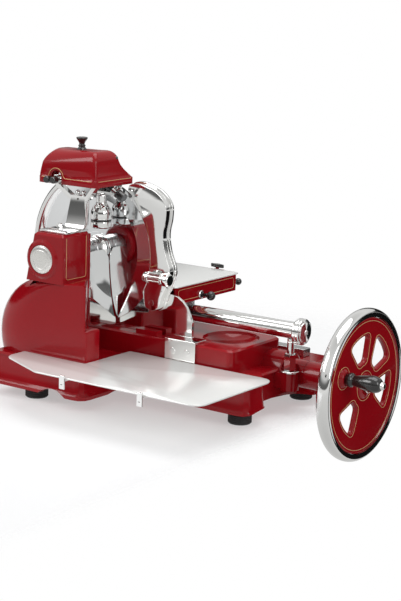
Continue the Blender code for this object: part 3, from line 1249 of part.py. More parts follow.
def build_carriage():
    middle_x = (CARRIAGE_LEFT + CARRIAGE_RIGHT) / 2
    frame = box(
        "carriage_frame", (CARRIAGE_LEFT, CARRIAGE_FRONT, CARRIAGE_BOTTOM), (CARRIAGE_RIGHT, CARRIAGE_REAR, CARRIAGE_TOP), STEEL,
    )
    slide_top = TABLE_UNDER_TOP - SEAT_GAP
    ribs = [
        box(
            name, (x - SLIDE_RIB_WIDTH / 2, CARRIAGE_FRONT, CARRIAGE_TOP - BOX_EDGE),
            (x + SLIDE_RIB_WIDTH / 2, CARRIAGE_REAR, slide_top),
        )
        for name, x in (
            ("slide_rib_left", CARRIAGE_LEFT + SLIDE_RIB_INSET), ("slide_rib_right", CARRIAGE_RIGHT - SLIDE_RIB_INSET),
        )
    ]
    start, end = middle_x - SLEEVE_HALF_LENGTH, middle_x + SLEEVE_HALF_LENGTH
    sleeve = rod("sleeve", (start, RAIL_Y, RAIL_Z), (end, RAIL_Y, RAIL_Z), SLEEVE_RADIUS, sides=ROUND)
    neck = box(
        "sleeve_neck", (start + SLEEVE_NECK_HALF, RAIL_Y - SLEEVE_NECK_HALF, RAIL_Z + RAIL_RADIUS + SEAT_GAP * 5),
        (end - SLEEVE_NECK_HALF, RAIL_Y + SLEEVE_NECK_HALF, CARRIAGE_BOTTOM + BOX_EDGE),
    )
    roller_z = DECK_TOP + TRACK_HEIGHT + ROLLER_RADIUS + SEAT_GAP
    leg_front = ROLLER_Y + ROLLER_WIDTH / 2 + RUNNING_GAP * 2
    leg = box(
        "roller_leg", (middle_x - ROLLER_LEG_HALF_WIDTH, leg_front, roller_z - ROLLER_PIN_RADIUS * 2),
        (middle_x + ROLLER_LEG_HALF_WIDTH, leg_front + ROLLER_LEG_THICKNESS, CARRIAGE_BOTTOM + BOX_EDGE),
    )
    pin = rod(
        "roller_pin", (middle_x, ROLLER_Y - ROLLER_WIDTH / 2 - RUNNING_GAP, roller_z),
        (middle_x, leg_front + ROLLER_LEG_THICKNESS / 2, roller_z), ROLLER_PIN_RADIUS, sides=TINY,
    )
    ferrule = rod(
        "pull_ferrule", (PULL_KNOB_X, CARRIAGE_REAR - BOX_EDGE, PULL_KNOB_Z),
        (PULL_KNOB_X, CARRIAGE_REAR + PULL_FERRULE_LENGTH, PULL_KNOB_Z), PULL_FERRULE_RADIUS,
    )
    join(frame, *ribs, sleeve, neck, leg, pin, ferrule)
    cut(frame, rod(
        "sleeve_bore", (start - CUT_OVERRUN, RAIL_Y, RAIL_Z), (end + CUT_OVERRUN, RAIL_Y, RAIL_Z),
        RAIL_RADIUS + RUNNING_GAP, sides=ROUND,
    ), rod(
        "pull_bore", (PULL_KNOB_X, CARRIAGE_REAR - SEAT_GAP, PULL_KNOB_Z),
        (PULL_KNOB_X, CARRIAGE_REAR + PULL_FERRULE_LENGTH + CUT_OVERRUN, PULL_KNOB_Z), PULL_STEM_RADIUS + RUNNING_GAP,
    ))
    half = ROLLER_WIDTH / 2
    roller = tube(
        "rear_roller", ROLLER_PIN_RADIUS + RUNNING_GAP, ROLLER_RADIUS, -half, half,
        (middle_x, ROLLER_Y, roller_z), ALONG_Y, STEEL, steps=24,
    )
    return frame, roller, (middle_x, ROLLER_Y, roller_z)


def build_table():
    body = box("table_body", (TABLE_LEFT, TABLE_FRONT, TABLE_BOTTOM), (TABLE_RIGHT, TABLE_REAR, TABLE_TOP), RED)
    cut(body, box(
        "table_channel", (TABLE_LEFT + TABLE_WALL, TABLE_FRONT - CUT_OVERRUN, TABLE_BOTTOM - CUT_OVERRUN),
        (TABLE_RIGHT - TABLE_WALL, TABLE_REAR + CUT_OVERRUN, TABLE_UNDER_TOP),
    ))
    join(body, box(
        "clamp_lug", (CLAMP_X - CLAMP_LUG_WIDTH / 2, TABLE_REAR - TABLE_WALL, TABLE_UNDER_TOP),
        (CLAMP_X + CLAMP_LUG_WIDTH / 2, TABLE_REAR + CLAMP_LUG_LENGTH, TABLE_TOP),
    ))
    outline = rounded([
        (TABLE_LEFT - PLATE_OVERHANG, TABLE_FRONT - PLATE_OVERHANG),
        (TABLE_RIGHT + PLATE_OVERHANG, TABLE_FRONT - PLATE_OVERHANG),
        (TABLE_RIGHT + PLATE_OVERHANG, TABLE_REAR + PLATE_OVERHANG),
        (TABLE_LEFT - PLATE_OVERHANG, TABLE_REAR + PLATE_OVERHANG),
    ], PLATE_CORNER)
    top = plate(
        "meat_plate", [outline], PLATE_THICKNESS, (0.0, 0.0, TABLE_TOP + SEAT_GAP + PLATE_THICKNESS / 2),
        ALONG_Z, ENAMEL,
    )
    clamp_y = TABLE_REAR + CLAMP_LUG_LENGTH - CLAMP_LUG_WIDTH / 3
    stud_top = TABLE_TOP + SEAT_GAP + CLAMP_KNOB_HEIGHT / 2
    join(body, rod(
        "clamp_stud", (CLAMP_X, clamp_y, TABLE_TOP - TABLE_WALL / 2), (CLAMP_X, clamp_y, stud_top), CLAMP_STUD_RADIUS,
        sides=TINY,
    ))
    knob = plate("clamp_knob", [rounded([
        (-CLAMP_KNOB_LENGTH / 2, -CLAMP_KNOB_WIDTH / 2), (CLAMP_KNOB_LENGTH / 2, -CLAMP_KNOB_WIDTH / 2),
        (CLAMP_KNOB_LENGTH / 2, CLAMP_KNOB_WIDTH / 2), (-CLAMP_KNOB_LENGTH / 2, CLAMP_KNOB_WIDTH / 2),
    ], CLAMP_KNOB_WIDTH / 2.2)], CLAMP_KNOB_HEIGHT, (CLAMP_X, clamp_y, stud_top + SEAT_GAP + CLAMP_KNOB_HEIGHT / 2), ALONG_Z, BLACK)
    stem_start = TABLE_RIGHT + SEAT_GAP
    feed = turned("feed_knob", [
        (0.0, FEED_STEM_LENGTH + FEED_BALL_RADIUS * 2), *[
            (FEED_BALL_RADIUS * math.sin(math.radians(t)), FEED_STEM_LENGTH + FEED_BALL_RADIUS * (1 + math.cos(math.radians(t))))
            for t in range(30, 151, 30)
        ], (FEED_STEM_RADIUS, FEED_STEM_LENGTH), (FEED_STEM_RADIUS, 0.0), (0.0, 0.0),
    ], (stem_start, FEED_KNOB_Y, FEED_KNOB_Z), ALONG_X, BLACK, steps=SMALL)
    stem_end = PULL_FERRULE_LENGTH + PULL_STEM_LENGTH
    pull = turned("pull_knob", [
        (0.0, stem_end + PULL_BALL_RADIUS * 2), *[
            (PULL_BALL_RADIUS * math.sin(math.radians(t)), stem_end + PULL_BALL_RADIUS * (1 + math.cos(math.radians(t))))
            for t in range(30, 151, 30)
        ], (PULL_STEM_RADIUS, stem_end), (PULL_STEM_RADIUS, 0.0), (0.0, 0.0),
    ], (PULL_KNOB_X, CARRIAGE_REAR, PULL_KNOB_Z), ALONG_Y, BLACK, steps=SMALL)
    return body, top, knob, feed, pull, clamp_y, stem_start


def gauge_outline():
    """S shaped plate round the blade's right side, as shares of its width and height."""
    centre = (DRIVE_X, BLADE_Z)
    inner = arc(BLADE_RADIUS + GAUGE_CLEARANCE, GAUGE_ARC_TOP, GAUGE_ARC_BOTTOM, 14, centre)
    height = GAUGE_TOP - GAUGE_BOTTOM
    low_x, low_z = inner[-1]
    high_x, high_z = inner[0]
    right_shares = (
        (0.02, 0.98), (0.30, 1.0), (0.72, 0.95), (0.96, 0.86), (0.98, 0.75), (0.92, 0.62), (0.98, 0.48),
        (1.12, 0.335), (1.04, 0.22), (0.92, 0.12), (0.84, 0.03), (0.68, 0.0), (0.50, 0.03),
    )
    width = GAUGE_RIGHT - high_x
    path = [(high_x + width * across, GAUGE_BOTTOM + height * up) for across, up in right_shares]
    return inner, smooth_path([(high_x, high_z), *path, (low_x, low_z)], 3)[1:-1]


def build_gauge():
    inner, right = gauge_outline()
    outline = list(reversed(right)) + inner
    front = GAUGE_BACK - GAUGE_THICKNESS - GAUGE_BEAD_DEPTH
    bead = plate("gauge_bead", [
        list(reversed(grown_right(right))) + inner
    ], GAUGE_BEAD_DEPTH * 1.5, (0.0, GAUGE_BACK - GAUGE_BEAD_DEPTH * 0.75, 0.0), FACING_FRONT)
    gauge = plate(
        "gauge_plate", [outline], GAUGE_THICKNESS + GAUGE_BEAD_DEPTH / 2,
        (0.0, front + (GAUGE_THICKNESS + GAUGE_BEAD_DEPTH / 2) / 2, 0.0), FACING_FRONT, CHROME,
    )
    knob_y = front - KNOB_STANDOFF - KNOB_RADIUS
    boss_end = KNOB_BOSS_END + KNOB_BOSS_LENGTH
    boss = rod("knob_boss", (KNOB_BOSS_END, knob_y, KNOB_Z), (boss_end, knob_y, KNOB_Z), KNOB_BOSS_RADIUS, sides=SMALL)
    web = box(
        "knob_web", (KNOB_BOSS_END + SEAT_GAP, knob_y, KNOB_Z - KNOB_RADIUS / 2),
        (boss_end - BOX_EDGE, front + BOX_EDGE, KNOB_Z + KNOB_RADIUS / 2),
    )
    pin = rod("knob_pin", (KNOB_BOSS_END - KNOB_LENGTH / 2, knob_y, KNOB_Z), (boss_end - BOX_EDGE, knob_y, KNOB_Z), KNOB_PIN_RADIUS, sides=TINY)
    join(gauge, bead, boss, web, pin)
    cut(gauge, rod(
        "guide_bore", (GUIDE_PIN_X, front - CUT_OVERRUN, GUIDE_PIN_Z), (GUIDE_PIN_X, GAUGE_BACK + CUT_OVERRUN, GUIDE_PIN_Z),
        GUIDE_PIN_RADIUS + RUNNING_GAP,
    ))
    knob_end = KNOB_BOSS_END - RUNNING_GAP
    hole = KNOB_PIN_RADIUS + RUNNING_GAP
    end = -KNOB_LENGTH - KNOB_CAP_LENGTH
    knob = turned("thickness_knob", [
        (0.0, -KNOB_LENGTH / 2 - SKIRT_BEAD), (hole, -KNOB_LENGTH / 2 - SKIRT_BEAD),
        (hole, 0.0), (KNOB_RADIUS * 0.9, 0.0), (KNOB_RADIUS, -SKIRT_BEAD), (KNOB_RADIUS, SKIRT_BEAD - KNOB_LENGTH),
        (KNOB_CAP_RADIUS, -KNOB_LENGTH), (KNOB_CAP_RADIUS, end + SKIRT_BEAD / 2), (KNOB_CAP_RADIUS * 0.85, end),
        (0.0, end),
    ], (knob_end, knob_y, KNOB_Z), ALONG_X, CHROME, steps=24)
    support = build_support()
    join(support, rod(
        "guide_pin", (GUIDE_PIN_X, front, GUIDE_PIN_Z), (GUIDE_PIN_X, GAUGE_BACK + SUPPORT_THICKNESS / 2, GUIDE_PIN_Z),
        GUIDE_PIN_RADIUS,
    ))
    return gauge, knob, knob_y


def grown_right(path):
    """The right hand edge, moved out by the bead's width."""
    return [
        (x + GAUGE_BEAD * normal[0], z + GAUGE_BEAD * normal[1])
        for (x, z), normal in zip(path, path_normals(path))
    ]


def path_normals(path):
    normals = []
    for before, after in zip([path[0], *path], [*path[1:], path[-1]]):
        along = (Vector(after) - Vector(before)).normalized()
        normals.append((-along.y, along.x))
    return normals


def build_support():
    """Fixed plate behind the blade's lower edge, with the bracket that screws to the bed."""
    low = BED_TOP + SEAT_GAP
    front = GAUGE_BACK + SEAT_GAP
    outline = [
        (SUPPORT_LEFT, low), (SUPPORT_RIGHT, low), (SUPPORT_RIGHT, low + BED_STEP_HEIGHT * 3.5),
        *arc(
            SUPPORT_RIGHT - GAUGE_RIGHT, 20, 100, 5,
            (GAUGE_RIGHT - BOX_EDGE, SUPPORT_TOP - (SUPPORT_RIGHT - GAUGE_RIGHT)),
        ),
        (GUIDE_PIN_X - GUIDE_PIN_RADIUS * 3, SUPPORT_TOP), (GUIDE_PIN_X - GUIDE_PIN_RADIUS * 4, low + BED_STEP_HEIGHT * 4),
        (SUPPORT_LEFT, low + BED_STEP_HEIGHT * 3),
    ]
    support = plate(
        "gauge_support", [outline], SUPPORT_THICKNESS, (0.0, front + SUPPORT_THICKNESS / 2, 0.0), FACING_FRONT, CHROME,
    )
    face = BED_FRONT - SEAT_GAP
    foot = box(
        "bracket_front", (BRACKET_LEFT, face - BRACKET_THICKNESS, BRACKET_BOTTOM),
        (BRACKET_RIGHT, face, low + BRACKET_THICKNESS),
    )
    shelf = box(
        "bracket_shelf", (BRACKET_LEFT, face - BRACKET_THICKNESS, low),
        (BRACKET_RIGHT, front + SUPPORT_THICKNESS, low + BRACKET_THICKNESS),
    )
    join(support, foot, shelf)
    for name, share in (("left", 0.27), ("right", 0.73)):
        x = BRACKET_LEFT + (BRACKET_RIGHT - BRACKET_LEFT) * share
        z = (BRACKET_BOTTOM + low) / 2
        screw = rod(
            "bracket_screw_" + name, (x, face - BRACKET_THICKNESS - BRACKET_SCREW_HEIGHT, z), (x, face - BRACKET_THICKNESS / 2, z),
            BRACKET_SCREW_RADIUS, sides=SMALL,
        )
        join(support, screw)
    return support


def deflector_face(y, z):
    """The leaning plate's outer face: nearer the hub at its top and towards its front."""
    lean = along_table(z, DEFLECTOR_LEAN)
    return lean - DEFLECTOR_SWEEP * (BLADE_Y - y)


def along_table(z, table):
    """Straight lines between the table's (height, place) pairs."""
    if z <= table[0][0]:
        return table[0][1]
    for (low, start), (high, end) in zip(table, table[1:]):
        if z <= high:
            return start + (end - start) * (z - low) / (high - low)
    return table[-1][1]


def build_deflector():
    """A leaning plate against the blade, and the upright chute under its lower edge."""
    rings = []
    for y, low, high in DEFLECTOR_STATIONS:
        heights = [low + (high - low) * i / 6 for i in range(7)]
        outer = [(deflector_face(y, z), y, z) for z in heights]
        rings.append(outer + [(x - DEFLECTOR_THICKNESS, y, z) for x, y, z in reversed(outer)])
    deflector = loft("deflector", rings, CHROME)
    chute_x = CHUTE_LEFT + DEFLECTOR_THICKNESS / 2
    back = BLADE_Y - BLADE_THICKNESS / 2 - DEFLECTOR_BACK_GAP
    chute = plate("chute", [rounded([
        (CHUTE_FRONT, CHUTE_BOTTOM_FRONT), (back, CHUTE_BOTTOM_BACK), (back, CHUTE_TOP_BACK),
        (CHUTE_FRONT, CHUTE_TOP_FRONT),
    ], BOX_EDGE, 2)], DEFLECTOR_THICKNESS, (chute_x, 0.0, 0.0), FACING_RIGHT)
    ledge_y = back - CHUTE_LEDGE_DEPTH
    ledge = box(
        "chute_ledge", (deflector_face(ledge_y, CHUTE_LEDGE_Z) - DEFLECTOR_THICKNESS / 2, ledge_y, CHUTE_LEDGE_Z),
        (chute_x, back, CHUTE_LEDGE_Z + DEFLECTOR_THICKNESS),
    )
    screw_x = deflector_face(DEFLECTOR_SCREW_Y, DEFLECTOR_SCREW_Z)
    rise = DEFLECTOR_SCREW_Z - BLADE_Z
    lug_x = DRIVE_X + math.sqrt(SPINDLE_HOUSING_RADIUS ** 2 - rise ** 2) + SEAT_GAP * 4
    lug = rod(
        "deflector_lug", (lug_x, DEFLECTOR_SCREW_Y, DEFLECTOR_SCREW_Z),
        (screw_x - DEFLECTOR_THICKNESS / 2, DEFLECTOR_SCREW_Y, DEFLECTOR_SCREW_Z), DEFLECTOR_LUG_RADIUS, sides=SMALL,
    )
    join(deflector, chute, ledge, lug)
    cut(deflector, rod(
        "lug_seat", (DRIVE_X, COLUMN_REAR, BLADE_Z), (DRIVE_X, BLADE_Y, BLADE_Z), SPINDLE_HOUSING_RADIUS + SEAT_GAP,
        sides=ROUND,
    ))
    return deflector


def build_guard():
    centre = (DRIVE_X, BLADE_Z)
    outline = arc(GUARD_OUTER, GUARD_START, GUARD_END, 20, centre) + arc(GUARD_INNER, GUARD_END, GUARD_START, 20, centre)
    guard = plate("blade_guard", [outline], GUARD_WIDTH, (0.0, BLADE_Y, 0.0), FACING_FRONT, CHROME)
    x, z = turn_point((GUARD_INNER + GUARD_OUTER) / 2, GUARD_ARM_TURN, centre)
    start = COLUMN_REAR + REAR_COVER_THICKNESS + SEAT_GAP * 2
    arm = rod(
        "guard_arm", (x, start, z), (x, BLADE_Y, z), (GUARD_OUTER - GUARD_INNER) / 2.2,
    )
    join(guard, arm)
    return guard


def tray_outline():
    sharp = [
        (TRAY_LEFT, TRAY_NOTCH_FRONT), (TRAY_LEFT, TRAY_LEFT_SLOPE_Y), (TRAY_LEFT_SLOPE_X, TRAY_FRONT - TRAY_GAP),
        (TRAY_RIGHT, TRAY_FRONT), (TRAY_RIGHT, TRAY_BACK), (TRAY_NOTCH_RIGHT, TRAY_BACK),
        (TRAY_NOTCH_RIGHT, TRAY_NOTCH_FRONT),
    ]
    tight = TRAY_CORNER / 6
    return rounded(sharp, (tight, *[TRAY_CORNER] * 4, tight, tight), 4)


def build_tray():
    tray = plate(
        "receiving_tray", [tray_outline()], TRAY_THICKNESS, (0.0, 0.0, TRAY_TOP - TRAY_THICKNESS / 2), ALONG_Z, ENAMEL,
    )
    arm_radius = (TRAY_TOP - TRAY_THICKNESS - DECK_TOP) / 2 - SEAT_GAP
    arm_z = DECK_TOP + SEAT_GAP + arm_radius
    for name, x in zip(("left", "right"), ARM_PLACES):
        clip_back = TRAY_FRONT - TRAY_GAP - SEAT_GAP
        arm = rod(
            "tray_hook_" + name, (x, BED_FRONT - TRAY_GAP, arm_z), (x, clip_back - CLIP_THICKNESS / 2, arm_z),
            arm_radius, CHROME, sides=TINY,
        )
        join(arm, box(
            "tray_clip_" + name, (x - CLIP_WIDTH / 2, clip_back - CLIP_THICKNESS, TRAY_TOP - CLIP_DROP),
            (x + CLIP_WIDTH / 2, clip_back, TRAY_TOP + CLIP_RISE),
        ))
    return tray


def yoke_outline():
    """U shaped yoke: a flat floor and two arms that spread up to the deck."""
    top = SHARPENER_DECK_Z + SHARPENER_DECK_THICKNESS / 2
    inner_top = YOKE_BOTTOM + YOKE_BAR
    return [
        (YOKE_FLOOR_LEFT, YOKE_BOTTOM), (YOKE_FLOOR_RIGHT, YOKE_BOTTOM), (YOKE_RIGHT, top - YOKE_BAR * 2),
        (YOKE_RIGHT, top), (YOKE_RIGHT - YOKE_BAR, top), (YOKE_RIGHT - YOKE_BAR, top - YOKE_BAR * 1.6),
        (YOKE_FLOOR_RIGHT - YOKE_BAR / 2, inner_top), (YOKE_FLOOR_LEFT + YOKE_BAR / 2, inner_top),
        (YOKE_LEFT + YOKE_BAR, top - YOKE_BAR * 1.6), (YOKE_LEFT + YOKE_BAR, top), (YOKE_LEFT, top),
        (YOKE_LEFT, top - YOKE_BAR * 2),
    ]


def build_sharpener():
    middle_y = PILLAR_FRONT + PILLAR_DEPTH / 2
    bracket = plate("sharpener_bracket", [yoke_outline()], PILLAR_DEPTH, (0.0, middle_y, 0.0), FACING_FRONT, CHROME)
    pillar = loft("pillar", [
        [(x, y, z) for x, y in rounded([
            (PILLAR_X - half, PILLAR_FRONT - spread), (PILLAR_X + half, PILLAR_FRONT - spread),
            (PILLAR_X + half, PILLAR_FRONT + PILLAR_DEPTH - spread), (PILLAR_X - half, PILLAR_FRONT + PILLAR_DEPTH - spread),
        ], BOX_EDGE / 2, 2)]
        for z, half, spread in (
            (BOX_TOP + TOP_PLATE_THICKNESS + SEAT_GAP * 2, PILLAR_WIDTH / 2, PILLAR_DEPTH),
            (BOX_TOP + PILLAR_DEPTH, PILLAR_WIDTH / 2, PILLAR_DEPTH / 2),
            (YOKE_BOTTOM + YOKE_BAR / 2, PILLAR_WIDTH * 0.4, 0.0),
        )
    ])
    deck_top = SHARPENER_DECK_Z + SHARPENER_DECK_THICKNESS
    deck = box(
        "sharpener_deck", (YOKE_LEFT, PILLAR_FRONT, SHARPENER_DECK_Z), (YOKE_RIGHT - YOKE_BAR / 3, SHARPENER_DECK_REAR, deck_top),
    )
    tip = COVER_CROWN + COVER_KNOB_HEIGHT / 2
    shoulder = COVER_CROWN - COVER_WALL - SEAT_GAP
    stud = turned("cover_stud", [
        (0.0, tip), (STUD_RADIUS, tip), (STUD_RADIUS, shoulder), (STUD_SHOULDER_RADIUS, shoulder),
        (STUD_SHOULDER_RADIUS, SHARPENER_DECK_Z + SHARPENER_DECK_THICKNESS / 2),
        (0.0, SHARPENER_DECK_Z + SHARPENER_DECK_THICKNESS / 2),
    ], (COVER_KNOB_X, COVER_KNOB_Y, 0.0), ALONG_Z, steps=SMALL)
    join(bracket, pillar, deck, stud)
    turned("stone_spindle_housing", [
        (0.0, CUP_NECK_TOP), (CUP_NECK_RADIUS, CUP_NECK_TOP),
        (CUP_NECK_RADIUS, CUP_TOP), (CUP_RADIUS * 0.75, CUP_TOP - SKIRT_BEAD), (CUP_RADIUS, CUP_TOP - CUP_RADIUS * 0.7),
        (CUP_RADIUS, CUP_BOTTOM + SKIRT_BEAD), (CUP_RADIUS * 0.85, CUP_BOTTOM), (0.0, CUP_BOTTOM),
    ], (CUP_X, CUP_Y, 0.0), ALONG_Z, STEEL, steps=24)
    x, z = turn_point(HOLDER_ORBIT, HOLDER_TURN, (DRIVE_X, BLADE_Z))
    along = Vector((math.sin(math.radians(HOLDER_TURN)), 0.0, -math.cos(math.radians(HOLDER_TURN))))
    middle = Vector((x, HOLDER_Y, z))
    rod("hone_holder", middle - along * HOLDER_LENGTH / 2, middle + along * HOLDER_LENGTH / 2, HOLDER_RADIUS, BLACK)
    ring = rod(
        "holder_ring", middle - along * HOLDER_RING_LENGTH / 2, middle + along * HOLDER_RING_LENGTH / 2,
        HOLDER_RING_RADIUS, CHROME,
    )
    upright = box(
        "holder_upright", (middle.x, HOLDER_Y - HOLDER_ARM_HALF_WIDTH, middle.z),
        (middle.x + HOLDER_ARM_HALF_WIDTH, HOLDER_Y + HOLDER_ARM_HALF_WIDTH, SHARPENER_DECK_Z - SEAT_GAP),
    )
    arm_bottom = CUP_NECK_TOP + SEAT_GAP
    arm = box(
        "holder_arm", (CUP_X - CUP_NECK_RADIUS, HOLDER_Y - HOLDER_ARM_HALF_WIDTH * 1.5, arm_bottom),
        (middle.x - BOX_EDGE / 4, HOLDER_Y + HOLDER_ARM_HALF_WIDTH, arm_bottom + HOLDER_ARM_THICKNESS),
    )
    join(ring, upright, arm)
    cut(ring, rod(
        "holder_bore", middle - along * HOLDER_LENGTH, middle + along * HOLDER_LENGTH, HOLDER_RADIUS + SEAT_GAP,
    ))
    guides = box(
        "rod_guides", (HONE_ROD_X - ROD_RADIUS - ROD_GUIDE_MARGIN, ROD_GUIDE_FRONT, ROD_Z - ROD_RADIUS - ROD_GUIDE_MARGIN / 2),
        (GRIND_ROD_X + ROD_RADIUS + ROD_GUIDE_MARGIN, ROD_GUIDE_FRONT + ROD_GUIDE_LENGTH, deck_top - SHARPENER_DECK_THICKNESS / 2),
    )
    join(bracket, guides)
    for name, x in (("grind", GRIND_ROD_X), ("hone", HONE_ROD_X)):
        cut(bracket, rod(
            name + "_rod_bore", (x, ROD_GUIDE_FRONT - CUT_OVERRUN / 2, ROD_Z),
            (x, ROD_GUIDE_FRONT + ROD_GUIDE_LENGTH + CUT_OVERRUN / 2, ROD_Z), ROD_RADIUS + RUNNING_GAP, sides=TINY,
        ))


def stone_group(name, rod_x, turn, side):
    """Push rod with its knob, arm and stone; side is -1 in front of the blade, 1 behind it."""
    half = BLADE_THICKNESS / 2
    x, z = turn_point(BLADE_RADIUS * STONE_ORBIT_SHARE, turn, (DRIVE_X, BLADE_Z))
    near = BLADE_Y + side * (half + STONE_STANDOFF)
    far = near + side * STONE_THICKNESS
    arm_near = far + side * SEAT_GAP
    arm_far = arm_near + side * STONE_ARM_THICKNESS
    push = rod(
        name + "_push_rod", (rod_x, ROD_KNOB_FRONT + ROD_KNOB_LENGTH / 2, ROD_Z), (rod_x, max(arm_near, arm_far), ROD_Z), ROD_RADIUS, STEEL,
        sides=TINY,
    )
    along = Vector((x - rod_x, z - ROD_Z))
    across = Vector((-along.y, along.x)).normalized() * STONE_ARM_HALF_WIDTH
    outline = [
        (rod_x + across.x / 2, ROD_Z + across.y / 2), (rod_x - across.x / 2, ROD_Z - across.y / 2),
        (x - across.x, z - across.y), (x + across.x, z + across.y),
    ]
    arm = plate(name + "_arm", [outline], STONE_ARM_THICKNESS, (0.0, (arm_near + arm_far) / 2, 0.0), FACING_FRONT)
    pin = rod(name + "_pin", (x, near + side * STONE_THICKNESS / 2, z), (x, (arm_near + arm_far) / 2, z), STONE_PIN_RADIUS, sides=TINY)
    knob = rod(
        name + "_knob", (rod_x, ROD_KNOB_FRONT, ROD_Z), (rod_x, ROD_KNOB_FRONT + ROD_KNOB_LENGTH, ROD_Z), ROD_KNOB_RADIUS,
    )
    join(push, arm, pin, knob)
    low, high = sorted((near, far))
    stone = tube(name + "_stone", STONE_PIN_RADIUS + RUNNING_GAP, STONE_RADIUS, low, high, (x, 0.0, z), ALONG_Y, STONE, steps=20)
    return push, stone, (x, near, z)


def cover_ring(z, inset, rear, lean):
    left, right = COVER_LEFT + inset, COVER_RIGHT - inset
    middle = (COVER_LEFT + COVER_RIGHT) / 2
    half = (COVER_RIGHT - COVER_LEFT) / 2
    return [
        (x, y, z + lean * (x - middle) / half)
        for x, y in rounded([
            (left, COVER_FRONT + inset), (right, COVER_FRONT + inset), (right, rear - inset), (left, rear - inset),
        ], COVER_CORNER, 3)
    ]


def cover_rings(wall):
    """Square band, then walls that lean in to a crowned roof, higher at the right."""
    bottom = COVER_BOTTOM - (CUT_OVERRUN if wall else 0.0)
    rise = COVER_CROWN - COVER_SHOULDER
    slope = (COVER_REAR_LOW - COVER_REAR_HIGH)
    steps = (
        (bottom, 0.0, COVER_REAR_LOW, 0.0), (COVER_BAND_TOP, 0.0, COVER_REAR_LOW, 0.0),
        (COVER_BAND_TOP + (COVER_SHOULDER - COVER_BAND_TOP) / 2, SKIRT_BEAD / 2, COVER_REAR_HIGH + slope * 0.35, COVER_LEAN / 2),
        (COVER_SHOULDER, SKIRT_BEAD, COVER_REAR_HIGH, COVER_LEAN),
        (COVER_SHOULDER + rise * 0.42, SKIRT_BEAD * 3, COVER_REAR_HIGH, COVER_LEAN),
        (COVER_SHOULDER + rise * 0.80, SKIRT_BEAD * 6, COVER_REAR_HIGH, COVER_LEAN * 0.7),
        (COVER_CROWN, SKIRT_BEAD * 8, COVER_REAR_HIGH, 0.0),
    )
    return [
        cover_ring(z - (wall if z > COVER_BAND_TOP else 0.0), inset + wall, rear, lean)
        for z, inset, rear, lean in steps
    ]


def build_cover():
    cover = loft("sharpener_cover", cover_rings(0.0), RED, flat_ends=False)
    hollow = loft("cover_hollow", cover_rings(COVER_WALL), flat_ends=False)
    notch_z = NOTCH_TOP - NOTCH_HALF_WIDTH
    notch_outline = [
        (NOTCH_X - NOTCH_HALF_WIDTH, COVER_BOTTOM - CUT_OVERRUN), (NOTCH_X + NOTCH_HALF_WIDTH, COVER_BOTTOM - CUT_OVERRUN),
        *arc(NOTCH_HALF_WIDTH, 0, 180, 8, (NOTCH_X, notch_z)),
    ]
    notch = plate("cover_notch", [notch_outline], CUT_OVERRUN * 2, (0.0, COVER_FRONT, 0.0), FACING_FRONT)
    stud_bore = rod(
        "stud_bore", (COVER_KNOB_X, COVER_KNOB_Y, SHARPENER_DECK_Z), (COVER_KNOB_X, COVER_KNOB_Y, COVER_CROWN + CUT_OVERRUN),
        STUD_RADIUS + RUNNING_GAP,
    )
    cut(cover, hollow, notch, stud_bore)
    foot = COVER_CROWN + SEAT_GAP
    height = COVER_KNOB_HEIGHT
    bore = STUD_RADIUS + RUNNING_GAP
    knob = turned("cover_knob", [
        (0.0, height), (COVER_KNOB_TOP_RADIUS * 0.8, height), (COVER_KNOB_TOP_RADIUS, height * 0.9),
        (COVER_KNOB_WAIST * 1.2, height * 0.45), (COVER_KNOB_WAIST * 1.2, height * 0.32), (COVER_KNOB_FOOT_RADIUS, 0.0),
        (bore, 0.0), (bore, height * 0.62), (0.0, height * 0.62),
    ], (COVER_KNOB_X, COVER_KNOB_Y, foot), ALONG_Z, BLACK, steps=20)
    return cover, knob


